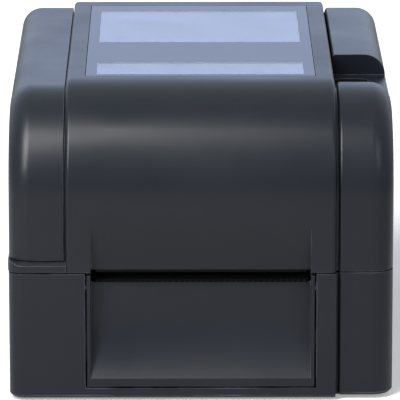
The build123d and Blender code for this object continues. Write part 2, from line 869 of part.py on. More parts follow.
def platen_rubber():
    """Rubber sleeve of the platen."""
    sleeve = rod_x(-platen_half, platen_half, platen_y, platen_z, platen_radius)
    sleeve = chamfer(sleeve.edges(), platen_radius / 16)
    return sleeve - rod_x(-half_w, half_w, platen_y, platen_z, platen_shaft)


def platen_gear():
    """Gear on the platen's left end."""
    gear = gear_x(-gear_plane - gear_width, -gear_plane, platen_y, platen_z, platen_teeth,
                  idler_angle + 180.0 / platen_teeth)
    return gear - rod_x(-half_w, 0, platen_y, platen_z, platen_shaft)


def idler_post():
    """Steel post of the double gear, riveted into the left side plate."""
    tip = -large_plane - gear_width - bush_flange_thick
    post = rod_x(tip, -frame_outer, idler_y, idler_z, post_radius)
    return chamfer(post.faces().sort_by(Axis.X)[0].edges(), post_radius / 6)


def idler_gear():
    """Double gear between the motor and the platen."""
    small = gear_x(-large_plane, -gear_plane, idler_y, idler_z, idler_small_teeth, idler_angle + 180.0)
    large = gear_x(-large_plane - gear_width, -large_plane, idler_y, idler_z, idler_large_teeth,
                   pinion_angle)
    boss = rod_x(-gear_plane, -frame_outer - tongue_gap, idler_y, idler_z, post_radius + rib_wall / 2)
    return small + large + boss - rod_x(-half_w, 0, idler_y, idler_z, post_radius + turn_clearance)


def platen_motor():
    """Stepper motor inside the left side plate, bored for its shaft."""
    half = motor_size / 2
    body = block(-frame_inner, -frame_inner + motor_length, pinion_y - half, pinion_y + half,
                 pinion_z - half, pinion_z + half)
    body = chamfer(body.edges().filter_by(Axis.X), motor_bevel)
    collar = rod_x(-frame_outer + sunk, -frame_inner, pinion_y, pinion_z, motor_collar)
    bore = rod_x(-half_w, -frame_inner + shaft_depth + sunk, pinion_y, pinion_z,
                 motor_shaft + turn_clearance)
    return body + collar - bore


def motor_pinion():
    """Pinion on the stepper motor's shaft."""
    gear = gear_x(-large_plane - gear_width, -large_plane, pinion_y, pinion_z, pinion_teeth,
                  pinion_angle + 180.0 + 180.0 / pinion_teeth)
    return gear + rod_x(-large_plane, -frame_inner + shaft_depth, pinion_y, pinion_z, motor_shaft)


def front_exit_panel():
    """Clip-on panel under the label exit, with its side rails and the swept chute."""
    half = exit_half - panel_gap
    drop = chute_bend - panel_bottom - panel_foot
    radius = (chute_depth ** 2 + drop ** 2) / (2 * chute_depth)
    centre = (chute_y - radius, chute_bend)
    sweep = disc(*centre, radius + chute_wall) - disc(*centre, radius)
    low = panel_bottom + panel_foot
    face = sweep & rect(front_y, chute_y + chute_wall, low - sunk, chute_bend)
    face += rect(chute_y, chute_y + chute_wall, chute_bend - sunk, chute_top)
    face += rect(front_y, front_y + wall, panel_bottom, low)
    panel = slab(-half + sunk, half - sunk, face)
    side = rect(front_y, chute_y + chute_wall, panel_bottom, panel_top)
    rail = slab(half - panel_rail, half, side)
    rail = fillet(rail.edges().group_by(Axis.Y)[0].filter_by(Axis.Z), panel_rail / 4)
    clip = block(half - panel_rail, exit_half + clip_reach, front_y + wall + panel_gap / 2,
                 front_y + 2 * wall, clip_bottom, clip_bottom + clip_height)
    return panel + both(rail) + both(clip)


def tear_bar():
    """Toothed steel bar on the top edge of the chute."""
    half = platen_half
    count = round(2 * half / tooth_pitch)
    pitch = 2 * half / count
    y0 = chute_y - tear_overhang
    points = [(half, y0 + tear_depth), (-half, y0 + tear_depth), (-half, y0)]
    for tooth in range(count):
        x = -half + tooth * pitch
        points += [(x + pitch / 2, y0 - tooth_depth), (x + pitch, y0)]
    return Pos(0, 0, chute_top) * extrude(outline(*points), tear_height)


def tray_view():
    """Side view of the tray: the deck in front, the trough of the roll bay and the rear deck."""
    y0 = roll_y - math.sqrt(roll_radius ** 2 - (roll_z - deck_z) ** 2)
    y1 = roll_y + math.sqrt(roll_radius ** 2 - (roll_z - rear_deck_z) ** 2)
    trough = disc(roll_y, roll_z, roll_radius + tray_wall)
    trough &= rect(front_y, roll_y, 0, deck_z) + rect(roll_y, rear_y, 0, rear_deck_z)
    face = trough + rect(deck_front, y0 + sunk, deck_z - tray_wall, deck_z)
    face += rect(y1 - sunk, rear_y - wall - tongue_gap, rear_deck_z - tray_wall, rear_deck_z)
    return face - disc(roll_y, roll_z, roll_radius)


def media_tray():
    """Tray of the label path: deck, roll trough with slots for the guides, and its ribs."""
    tray = slab(-tray_half, tray_half, tray_view())
    beyond = block(tray_rear_half, half_w, frame_rear - 4 * foot_half, rear_y, 0, height)
    tray -= both(beyond)
    under = disc(roll_y, roll_z, roll_radius + sunk)
    front_rib = rect(sensor_y + 2 * sensor_foot, pivot_y, floor_top, deck_z - tray_wall / 2)
    front_rib -= rect(sensor_y + 4 * sensor_foot, pivot_y - 2 * sensor_foot, frame_bottom, frame_low)
    rear_rib = rect(board_y0 + 2 * sensor_foot, frame_rear - 4 * sensor_foot, floor_top, rear_deck_z)
    ribs = (front_rib + rear_rib) - under
    tray += both(slab(tray_rear_half - rib_wall / 2, tray_rear_half + rib_wall / 2 + sunk, ribs))
    reach = rack_pitch_r + rack_width + 1
    slot = block(guide_outer - guide_travel - hub_length, guide_outer + tongue_gap, roll_y - reach,
                 roll_y + reach, 0, guide_slot_low)
    tray -= both(slot)
    half = sensor_travel + sensor_width / 2 + tray_wall
    tray -= block(-half, half, sensor_y - sensor_slot / 2, sensor_y + sensor_slot / 2, 0, height)
    return tray - gap_sensor_box(tray_gap / 2, 0, height)


def gap_sensor_box(grow, low, high):
    """A box with the outline of the gap sensor's face, grown all round."""
    half_x, half_y = gap_sensor_width / 2 + grow, gap_sensor_depth / 2 + grow
    middle = sensor_y - gap_sensor_back
    return block(gap_sensor_x - half_x, gap_sensor_x + half_x, middle - half_y, middle + half_y,
                 low, high)


def gap_sensor():
    """Fixed label gap sensor, set in the deck."""
    low = deck_z - 2 * sensor_foot
    flange = gap_sensor_box(gap_sensor_flange, low, deck_z - tray_wall)
    return flange + gap_sensor_box(0.0, low, deck_z - tongue_gap)


def mark_sensor():
    """Label mark sensor on a carriage that slides across in the slot of the deck."""
    low = deck_z - tray_wall - tongue_gap
    half = sensor_slot / 2
    neck = block(-sensor_width / 2, sensor_width / 2, sensor_y - half + tray_gap,
                 sensor_y + half - tray_gap, low, deck_z - tongue_gap)
    foot = block(-sensor_width / 2, sensor_width / 2, sensor_y - half - sensor_foot,
                 sensor_y + half + sensor_foot, low - sensor_foot, low)
    lens = block(-sensor_foot, sensor_foot, sensor_y - half / 3, sensor_y + half / 3,
                 deck_z - tray_wall / 2, deck_z + past)
    return neck + foot - lens


def rack_points(x0, x1, y_pitch, outward):
    """A straight rack's teeth along X, seen from above, on its pitch line."""
    pitch = math.pi * rack_module
    tip, root = -0.92 * rack_module, 1.2 * rack_module
    flat = pitch / 4 - backlash / 2
    slope = math.tan(math.radians(20))
    first = math.ceil(x0 / pitch - 0.5)
    points = []
    index = first
    while (index + 0.5) * pitch + pitch / 2 < x1:
        x = (index + 0.5) * pitch
        for dx, dy in ((-flat - root * slope, root), (-flat - tip * slope, tip),
                       (flat + tip * slope, tip), (flat + root * slope, root)):
            points.append((x + dx, y_pitch + outward * dy))
        index += 1
    return points


def media_guide(side):
    """A guide with its roll hub and the rack that reaches under the tray; side is 1 on the right.

    The right guide's rack passes in front of the pinion and the left guide's rack behind it.
    """
    shoulder_z = guide_cap_z + plate
    body = disc(roll_y, roll_z, roll_radius - guide_clearance)
    body &= outline((roll_y - guide_foot_half, 0), (roll_y + guide_foot_half, 0),
                    (roll_y + guide_cap_radius, shoulder_z), (roll_y - guide_cap_radius, shoulder_z))
    body += disc(roll_y, guide_cap_z, guide_cap_radius)
    body -= strut((roll_y, guide_slot_low), (roll_y, guide_slot_high), guide_slot_radius)
    wing = slab(guide_half, guide_outer, body)
    wing = chamfer([e for e in wing.edges() if e.center().X < guide_half + sunk
                    and e.center().Z > deck_z], guide_thick / 5)
    hub = rod_x(guide_half - hub_length, guide_half, roll_y, roll_z, hub_radius)
    hub = chamfer(hub.faces().sort_by(Axis.X)[0].edges(), hub_wall / 2)
    hub -= rod_x(0, guide_half, roll_y, roll_z, hub_radius - hub_wall)
    near_y, pitch_y = roll_y - rack_pitch_r - rack_width, roll_y - rack_pitch_r
    leg = block(guide_half, guide_outer, near_y, roll_y + rack_pitch_r - 1.5 * rack_module,
                rack_bottom, guide_foot + 1)
    teeth = rack_points(-rack_pitch_r, guide_half - rack_width, pitch_y, -1)
    points = [(teeth[0][0], near_y)] + teeth
    points += [(guide_outer - sunk, pitch_y - 1.2 * rack_module), (guide_outer - sunk, near_y)]
    rack = Pos(0, 0, rack_bottom) * extrude(outline(*points), rack_height)
    guide = wing + hub + leg + rack
    if side > 0:
        return guide
    return Pos(0, 2 * roll_y, 0) * Rot(0, 0, 180) * guide


def guide_pinion():
    """Pinion under the tray that makes the two guides move alike."""
    gear = Pos(0, roll_y, rack_bottom) * extrude(
        gear_outline(guide_pinion_teeth, rack_module, 90.0), rack_height)
    return gear - rod_z(0, deck_z, 0, roll_y, post_radius + turn_clearance)


def hinge_bracket():
    """Steel bracket behind the roll bay with the two ears of the cover's hinge."""
    back = rear_y - wall
    sheet = block(-ear_x - ear_thick, ear_x + ear_thick, back - bracket_sheet, back,
                  bracket_bottom, bracket_top)
    arm = strut((back - 2 * bracket_sheet, bracket_bottom + eye_radius + sunk), (hinge_y, hinge_z),
                eye_radius)
    ear = slab(ear_x, ear_x + ear_thick, arm & rect(front_y, back, 0, height))
    bracket = sheet + both(ear)
    return bracket - rod_x(-half_w, half_w, hinge_y, hinge_z, pin_radius + press_clearance)


def hinge_pin():
    """Steel pin of the cover's hinge."""
    end = lug_x + lug_thick + sunk
    return chamfer(rod_x(-end, end, hinge_y, hinge_z, pin_radius).edges(), pin_radius / 6)


def board_points():
    """Places of the main board's screws."""
    x = board_half - board_screw_inset
    return [(sx * x, y) for sx in (-1, 1)
            for y in (board_y0 + board_screw_inset, board_y1 - board_screw_rear)]


def main_board():
    """Main circuit board with its larger components."""
    board = block(-board_half, board_half, board_y0, board_y1, board_low, board_top)
    for x, y in board_points():
        board -= rod_z(0, deck_z, x, y, screw_radius + tongue_gap / 2)
    middle = board_y0 + part_row
    for x, size, tall in ((processor_x, processor_size, processor_height),
                          (driver_x, driver_size, driver_height)):
        board += block(x - size / 2, x + size / 2, middle - size / 2, middle + size / 2,
                       board_top, board_top + tall)
    for step in range(3):
        board += rod_z(board_top, board_top + capacitor_height, capacitor_x + step * capacitor_pitch,
                       middle, capacitor_radius)
    return board


def board_screws():
    """Screws of the main board."""
    return [rod_z(floor_top + sunk, board_top, x, y, screw_radius)
            + rod_z(board_top, board_top + board_screw_head, x, y, screw_head)
            for x, y in board_points()]


def socket(place, wide, high, mouth_wide, mouth_high):
    """A socket on the board's rear edge: its shell, with an open mouth towards the rear."""
    x = io_half * place
    back = io_front - socket_depth
    shell = block(x - wide / 2, x + wide / 2, back, io_front, board_top, board_top + high)
    middle = board_top + high / 2
    return shell - block(x - mouth_wide / 2, x + mouth_wide / 2, back + socket_wall, io_front + past,
                         middle - mouth_high / 2, middle + mouth_high / 2)


def power_inlet():
    """Round low-voltage inlet."""
    half = inlet_size / 2
    back = io_front - socket_depth
    body = block(inlet_x - half, inlet_x + half, back, io_front, board_top, board_top + inlet_size)
    return body - rod_y(back + socket_wall, io_front + past, inlet_x, board_top + half, inlet_radius)


def rear_panel():
    """Sheet metal panel round the sockets and the power switch."""
    y0, y1 = io_front - past, io_front + past
    panel = block(-io_half, io_half, io_front - io_sheet, io_front, io_bottom, io_top)
    shells = [(io_half * place, wide, high) for place, wide, high, _, _ in sockets.values()]
    for x, wide, high in shells + [(inlet_x, inlet_size, inlet_size)]:
        panel -= block(x - wide / 2 - socket_gap, x + wide / 2 + socket_gap, y0, y1,
                       board_top - socket_gap, board_top + high + socket_gap)
    wide, high = switch_wide / 2 - switch_rim + tongue_gap / 2, switch_high / 2 - switch_rim + tongue_gap / 2
    return panel - block(switch_x - wide, switch_x + wide, y0, y1, switch_z - high, switch_z + high)


def switch_housing():
    """Body of the power switch, open to the rear for the rocker."""
    wide, high = switch_wide / 2 - switch_rim, switch_high / 2 - switch_rim
    body = block(switch_x - wide, switch_x + wide, io_front - switch_depth, io_front,
                 switch_z - high, switch_z + high)
    rim = block(switch_x - switch_wide / 2, switch_x + switch_wide / 2, io_front,
                io_front + switch_rim, switch_z - switch_high / 2, switch_z + switch_high / 2)
    half_wide, half_high = rocker_wide / 2 + button_gap, rocker_high / 2 + 4 * button_gap
    space = block(switch_x - half_wide, switch_x + half_wide, io_front - 2 * rocker_depth,
                  io_front + past, switch_z - half_high, switch_z + half_high)
    pin = rod_x(switch_x - wide, switch_x + wide, io_front - rocker_set, switch_z,
                rocker_pin + turn_clearance)
    return body + rim - space - pin


def switch_rocker():
    """Rocker of the power switch, at rest in its off position."""
    half = rocker_high / 2
    lean = math.tan(math.radians(rocker_lean)) * half
    back, crown = io_front - rocker_depth, io_front + sunk
    face = outline((back, switch_z - half + 1), (crown - lean, switch_z - half), (crown, switch_z),
                   (crown + lean, switch_z + half), (back, switch_z + half - 1))
    rocker = slab(switch_x - rocker_wide / 2, switch_x + rocker_wide / 2, face)
    reach = rocker_wide / 2 + rocker_pin
    return rocker + rod_x(switch_x - reach, switch_x + reach, io_front - rocker_set, switch_z,
                          rocker_pin)


def ribbon_frame():
    """The print mechanism's two side plates, joined by the plate that carries the print head."""
    points = [(pivot_y, pivot_z, arm_eye), (supply_y, supply_z, arm_round),
              (rewind_y, rewind_z, arm_round),
              (head_front + arm_nose + 1, head_z + head_height + arm_nose, arm_nose)]
    circles = [disc(y, z, r) for y, z, r in points]
    side = make_hull([edge for circle in circles for edge in circle.edges()])
    side -= disc(pivot_y, pivot_z, pivot_radius + turn_clearance)
    side -= disc(supply_y, supply_z, journal_radius + turn_clearance)
    side -= disc(rewind_y, rewind_z, journal_radius + turn_clearance)
    side -= disc((supply_y + rewind_y) / 2, supply_z - arm_nose - 1, core_radius)
    frame = both(slab(arm_inner, arm_outer, side))
    front, rear = head_front + 1, head_front + head_depth + 3 * carrier_thick
    carrier = rect(front, rear, carrier_z, carrier_z + carrier_thick)
    carrier += rect(rear - carrier_thick, rear, head_z + head_height + 1, carrier_z + sunk)
    frame += slab(-arm_inner - sunk, arm_inner + sunk, carrier)
    for turn in (-90.0, 0.0, 90.0):
        angle = math.radians(ribbon_pinion_angle + turn)
        y = ribbon_pinion_y + pillar_ring * math.cos(angle)
        z = ribbon_pinion_z + pillar_ring * math.sin(angle)
        frame += rod_x(-ribbon_motor_x, -arm_outer + sunk, y, z, pillar_radius)
    return frame


def ribbon_rods():
    """Round guide rods of the ribbon, before and behind the print head."""
    places = ((head_front + spring_radius, carrier_z + 4 * rod_radius),
              (head_front + head_depth + 5.5 * rod_radius, head_z + head_height + 4.5 * rod_radius))
    return [rod_x(-arm_inner, arm_inner, y, z, rod_radius) for y, z in places]


def print_head():
    """Thermal print head, a ceramic strip over the platen."""
    head = block(-head_half, head_half, head_front, head_front + head_depth, head_z, head_z + head_height)
    low_front = [e for e in head.edges().filter_by(Axis.X)
                 if e.center().Y < head_front + sunk and e.center().Z < head_z + sunk]
    return chamfer(low_front, head_height / 3)


def head_sink():
    """Finned aluminium block on top of the print head."""
    z0 = head_z + head_height
    y0, y1 = head_front + 1, head_front + head_depth - 1
    face = rect(y0, y1, z0, z0 + sink_base)
    for step in range(sink_fins):
        y = y0 + step * (y1 - y0 - sink_fin) / (sink_fins - 1)
        face += rect(y, y + sink_fin, z0 + sink_base - sunk, sink_top - 3 * sunk)
    pads = rect(y0 + sink_base, y1 - sink_base, z0 + sink_base - sunk, sink_top)
    pads = slab(spring_x - spring_pad, spring_x + spring_pad, pads)
    return slab(-head_half + plate, head_half - plate, face) + both(pads)


def head_springs():
    """Two short coil springs that press the head on to the platen."""
    rise = spring_height - spring_wire
    path = Helix(rise / spring_turns, rise, spring_radius - spring_wire / 2)
    coil = sweep(Plane(origin=path @ 0, z_dir=path % 0) * Circle(spring_wire / 2), path, is_frenet=True)
    y = head_front + head_depth / 2
    return [Pos(x, y, sink_top + spring_wire / 2) * coil for x in (-spring_x, spring_x)]


def spindle(y, z, gear_end):
    """A ribbon spindle with fins that grip the ribbon's core, on journals in the side plates."""
    core = rod_x(-spindle_half, spindle_half, y, z, spindle_radius)
    blade = Pos(core_radius / 2, 0) * Rectangle(core_radius, fin_thick)
    for fin in range(fins):
        turned = Pos(y, z) * Rot(0, 0, 90.0 + 360.0 * fin / fins) * blade
        core += slab(-spindle_half + disc_thick, spindle_half - 4 * disc_thick, turned)
    core += rod_x(-spindle_half - disc_thick, -spindle_half, y, z, disc_radius)
    return core + rod_x(-arm_outer - gear_end, arm_outer + 1, y, z, journal_radius)


def supply_spindle():
    """Spindle of the fresh ribbon."""
    return spindle(supply_y, supply_z, brake_thick + sunk)


def supply_brake():
    """Brake disc on the supply spindle's left end."""
    ring = rod_x(-arm_outer - brake_thick - press_clearance, -arm_outer - press_clearance, supply_y,
                 supply_z, brake_radius)
    ring = chamfer(ring.edges(), brake_thick / 8)
    return ring - rod_x(-half_w, 0, supply_y, supply_z, journal_radius)


def rewind_spindle():
    """Spindle that winds up the used ribbon."""
    return spindle(rewind_y, rewind_z, gear_gap + gear_width)


def rewind_gear():
    """Gear on the rewind spindle's left end."""
    gear = gear_x(-ribbon_plane - gear_width, -ribbon_plane, rewind_y, rewind_z, rewind_teeth,
                  ribbon_pinion_angle + 180.0 / rewind_teeth)
    return gear - rod_x(-half_w, 0, rewind_y, rewind_z, journal_radius)


def ribbon_motor():
    """Small motor that drives the rewind spindle, on three pillars outside the left side plate."""
    y, z = ribbon_pinion_y, ribbon_pinion_z
    back = -ribbon_motor_x - ribbon_motor_flange
    flange = rod_x(back, -ribbon_motor_x, y, z, ribbon_motor_radius)
    can = rod_x(-ribbon_motor_x - ribbon_motor_length, back, y, z, ribbon_motor_radius - 1)
    can = chamfer(can.faces().sort_by(Axis.X)[0].edges(), 1.0)
    bore = rod_x(-ribbon_motor_x - shaft_depth, -ribbon_plane, y, z, ribbon_shaft + turn_clearance)
    return flange + can - bore


def ribbon_pinion():
    """Pinion on the ribbon motor's shaft."""
    y, z = ribbon_pinion_y, ribbon_pinion_z
    gear = gear_x(-ribbon_plane - gear_width, -ribbon_plane, y, z, ribbon_pinion_teeth,
                  ribbon_pinion_angle + 180.0)
    return gear + rod_x(-ribbon_motor_x - shaft_depth + 1, -ribbon_plane - gear_width, y, z,
                        ribbon_shaft)


def cover_latch():
    """Latch of the cover on the right: tab, arm and hook in one moulding that turns on its pin."""
    inner = latch_x - latch_thick / 2
    arm = block(inner, inner + latch_thick, latch_y0, latch_y1, latch_bottom, latch_pivot_z)
    tab = block(inner, half_w - side_inset - tongue_gap, latch_y0, latch_y1, tab_bottom,
                tab_bottom + tab_height)
    hook = block(inner, half_w - wall - sunk, latch_y0, latch_y1, latch_bottom,
                 latch_bottom + latch_hook)
    nose = [e for e in hook.edges().filter_by(Axis.Y)
            if e.center().X > inner + sunk and e.center().Z < latch_bottom + sunk]
    barrel = rod_y(latch_y0, latch_y1, latch_x, latch_pivot_z, latch_barrel)
    bore = rod_y(latch_y0 - past, latch_y1 + past, latch_x, latch_pivot_z, latch_pin + turn_clearance)
    return arm + tab + chamfer(nose, latch_hook / 2.5) + barrel - bore


def latch_pins():
    """Steel pins of the two latches."""
    reach = tab_length / 2 + tab_gap + latch_ear
    pin = rod_y(latch_y - reach, latch_y + reach, latch_x, latch_pivot_z, latch_pin)
    return [pin, flip(pin)]


nodes = {
    "lower_case": lower_case,
    "right_lower_cover": right_lower_cover,
    "rubber_feet": rubber_feet,
    "main_frame": main_frame,
    "frame_screws": frame_screws,
    "pivot_rod": pivot_rod,
    "platen_bushes": platen_bushes,
    "platen_axle": platen_axle,
    "platen_rubber": platen_rubber,
    "platen_gear": platen_gear,
    "idler_post": idler_post,
    "idler_gear": idler_gear,
    "platen_motor": platen_motor,
    "motor_pinion": motor_pinion,
    "front_exit_panel": front_exit_panel,
    "tear_bar": tear_bar,
    "media_tray": media_tray,
    "gap_sensor": gap_sensor,
    "mark_sensor": mark_sensor,
    "media_guide_right": lambda: media_guide(1),
    "media_guide_left": lambda: media_guide(-1),
    "guide_pinion": guide_pinion,
    "hinge_bracket": hinge_bracket,
    "hinge_pin": hinge_pin,
    "main_board": main_board,
    "board_screws": board_screws,
    "power_inlet": power_inlet,
    "usb_port": lambda: socket(*sockets["usb_port"]),
    "host_port": lambda: socket(*sockets["host_port"]),
    "network_port": lambda: socket(*sockets["network_port"]),
    "rear_panel": rear_panel,
    "switch_housing": switch_housing,
    "switch_rocker": switch_rocker,
    "lid_shell": lid_shell,
    "window": window,
    "left_shoulder_cover": left_shoulder_cover,
    "right_shoulder_cover": right_shoulder_cover,
    "control_panel": control_panel,
    "control_circuit": control_circuit,
    "status_light": lambda: led_space(0.0),
    "feed_button": feed_button,
    "cover_latch_right": cover_latch,
    "cover_latch_left": lambda: flip(cover_latch()),
    "latch_pins": latch_pins,
    "ribbon_frame": ribbon_frame,
    "ribbon_rods": ribbon_rods,
    "print_head": print_head,
    "head_sink": head_sink,
    "head_springs": head_springs,
    "supply_spindle": supply_spindle,
    "supply_brake": supply_brake,
    "rewind_spindle": rewind_spindle,
    "rewind_gear": rewind_gear,
    "ribbon_motor": ribbon_motor,
    "ribbon_pinion": ribbon_pinion,
}

os.makedirs("parts", exist_ok=True)
for name, make in nodes.items():
    shape = make()
    if isinstance(shape, list):
        shape = Compound(children=shape)
    export_step(shape, f"parts/{name}.step")
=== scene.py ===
import json
import logging
import math
from dataclasses import dataclass
from enum import Enum
from typing import Callable, Iterable, Sequence

import bmesh
import bpy
from mathutils import Matrix, Vector

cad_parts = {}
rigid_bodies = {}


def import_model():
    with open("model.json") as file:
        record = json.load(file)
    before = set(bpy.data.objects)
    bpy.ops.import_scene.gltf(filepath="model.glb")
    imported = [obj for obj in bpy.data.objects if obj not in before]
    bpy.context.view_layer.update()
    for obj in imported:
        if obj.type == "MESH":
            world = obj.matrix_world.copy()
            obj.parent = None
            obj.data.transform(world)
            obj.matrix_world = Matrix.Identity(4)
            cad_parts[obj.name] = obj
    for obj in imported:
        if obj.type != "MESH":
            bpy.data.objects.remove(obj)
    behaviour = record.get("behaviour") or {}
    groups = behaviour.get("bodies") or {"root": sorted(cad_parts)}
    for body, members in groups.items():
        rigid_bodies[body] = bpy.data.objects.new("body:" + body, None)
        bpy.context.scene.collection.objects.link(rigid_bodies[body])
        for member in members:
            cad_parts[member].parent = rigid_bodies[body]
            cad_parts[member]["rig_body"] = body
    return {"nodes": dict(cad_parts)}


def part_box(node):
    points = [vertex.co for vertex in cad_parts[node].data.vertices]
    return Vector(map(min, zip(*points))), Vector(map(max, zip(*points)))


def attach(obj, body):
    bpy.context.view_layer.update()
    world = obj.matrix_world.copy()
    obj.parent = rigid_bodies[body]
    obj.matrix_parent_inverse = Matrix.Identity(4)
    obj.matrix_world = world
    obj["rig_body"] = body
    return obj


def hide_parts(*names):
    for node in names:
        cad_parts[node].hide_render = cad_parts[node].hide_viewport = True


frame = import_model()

# The label printer's looks: its mouldings with softened edges, the window, the screws, the socket
# contacts and the other small parts, the finish of every piece, and a plain studio.
# Sizes are in millimetres and angles in degrees. They're converted where Blender takes them.

log = logging.getLogger("label_printer")
MM = 0.001
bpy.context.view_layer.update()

Pair = tuple[float, float]
Triple = tuple[float, float, float]
Piece = bpy.types.Object
Socket = bpy.types.NodeSocket
Part = tuple[Piece, str, "Body"]

ALONG = 0.95  # the least cosine with an axis of a direction that counts as along it
FLAT_ANGLE = 0.4
SMOOTH_ANGLE = 32.0
MERGE_REACH = 0.002


class Body(str, Enum):
    """The moving bodies of the printer."""

    BASE = "base"
    COVER = "cover"
    ROCKER = "rocker"
    LATCH_RIGHT = "latch_right"
    LATCH_LEFT = "latch_left"
    MECHANISM = "mechanism"
    SENSOR = "sensor_carriage"
    GUIDE_RIGHT = "guide_right"
    GUIDE_LEFT = "guide_left"
    SUPPLY = "supply"
    REWIND = "rewind"


class Axis(Enum):
    """A direction in the printer's frame."""

    X = (1.0, 0.0, 0.0)
    Y = (0.0, 1.0, 0.0)
    Z = (0.0, 0.0, 1.0)


class Pick(Enum):
    """What a rule selects in a mesh."""

    FACE = "faces"
    EDGE = "edges"


class Flats(Enum):
    """What a softened copy does with the triangles of its flat faces before they're bevelled."""

    JOINED = "joined"
    CONVEX = "convex"
    KEPT = "kept"


class Texture(Enum):
    """What a finish shows close up."""

    MOULDED = "moulded"
    BRUSHED = "brushed"
    CAST = "cast"


# Node trees

WHITE = (1.0, 1.0, 1.0)
BLACK = (0.0, 0.0, 0.0)


class Tree:
    """A node tree that is written as a chain of short calls."""

    def __init__(self, tree: bpy.types.NodeTree) -> None:
        """Starts an empty tree of a material, a group or the world."""
        self.tree = tree
        self.tree.nodes.clear()

    def node(self, kind: str, links: dict | None = None, **settings: object) -> bpy.types.Node:
        """Adds a node, sets it up and wires its inputs.

        Args:
            kind: The node's type name.
            links: Input name or number to a value, or to the output socket that feeds it.
            settings: Properties of the node itself.

        Returns:
            The new node.
        """
        made = self.tree.nodes.new(kind)
        row, column = divmod(len(self.tree.nodes), 8)
        made.location = (180 * column, -220 * row)
        for name, value in settings.items():
            setattr(made, name, value)
        for name, value in (links or {}).items():
            if isinstance(value, Socket):
                self.tree.links.new(value, made.inputs[name])
            else:
                made.inputs[name].default_value = value
        return made

    def math(self, operation: str, *values: object) -> Socket:
        """Adds a Math node and returns its output."""
        return self.node("ShaderNodeMath", dict(enumerate(values)), operation=operation).outputs[0]

    def times(self, first: object, second: object) -> Socket:
        """Returns the product of two values."""
        return self.math("MULTIPLY", first, second)

    def spread(self, value: Socket, low: float, high: float, to_low: float = 0.0,
               to_high: float = 1.0) -> Socket:
        """Stretches a value from one range to another and returns the clamped result."""
        made = self.node("ShaderNodeMapRange", {0: value, 1: low, 2: high, 3: to_low, 4: to_high})
        return made.outputs[0]

    def blend(self, mask: object, first: object, second: object) -> Socket:
        """Mixes two colours, each a socket or three numbers, by a mask and returns the colour."""
        pair = [(*colour, 1.0) if isinstance(colour, tuple) else colour
                for colour in (first, second)]
        return self.node("ShaderNodeMix", {0: mask, 6: pair[0], 7: pair[1]},
                         data_type="RGBA").outputs[2]

    def place(self) -> Socket:
        """Returns the place on the object, in metres from its origin."""
        return self.node("ShaderNodeTexCoord").outputs["Object"]

    def noise(self, place: Socket, scale: object, detail: float, roughness: float = 0.5,
              distortion: float = 0.0) -> Socket:
        """Adds a noise texture and returns its value."""
        return self.node("ShaderNodeTexNoise", {
            "Vector": place, "Scale": scale, "Detail": detail, "Roughness": roughness,
            "Distortion": distortion}).outputs["Fac"]

    def effect(self, group: bpy.types.NodeTree, **inputs: float) -> bpy.types.NodeOutputs:
        """Adds a shared group, sets its inputs and returns its outputs."""
        return self.node("ShaderNodeGroup", inputs, node_tree=group).outputs

    def bump(self, height: Socket, depth: float, strength: float = 1.0) -> Socket:
        """Turns a height into a normal; the depth is in millimetres."""
        return self.node("ShaderNodeBump", {"Strength": strength, "Distance": depth * MM,
                                            "Height": height}).outputs[0]

    def surface(self, inputs: dict) -> None:
        """Ends a material with one shader that has these inputs."""
        shader = self.node("ShaderNodeBsdfPrincipled", inputs)
        self.node("ShaderNodeOutputMaterial", {"Surface": shader.outputs[0]})


class Group(Tree):
    """A shader group that takes and puts out plain numbers."""

    def __init__(self, name: str, **inputs: float) -> None:
        """Starts an empty group.

        Args:
            name: The group's name.
            inputs: Name and default of each number that it takes.
        """
        super().__init__(bpy.data.node_groups.new(name, "ShaderNodeTree"))
        for label, default in inputs.items():
            self.socket(label, "INPUT").default_value = default
        self.taken = self.node("NodeGroupInput").outputs

    def socket(self, label: str, way: str) -> bpy.types.NodeTreeInterfaceSocket:
        """Adds a number to what the group takes or puts out."""
        return self.tree.interface.new_socket(name=label, in_out=way, socket_type="NodeSocketFloat")

    def close(self, **results: Socket) -> bpy.types.NodeTree:
        """Puts out named values.

        Args:
            results: Name and source of each value.

        Returns:
            The finished group.
        """
        for label in results:
            self.socket(label, "OUTPUT")
        self.node("NodeGroupOutput", results)
        return self.tree


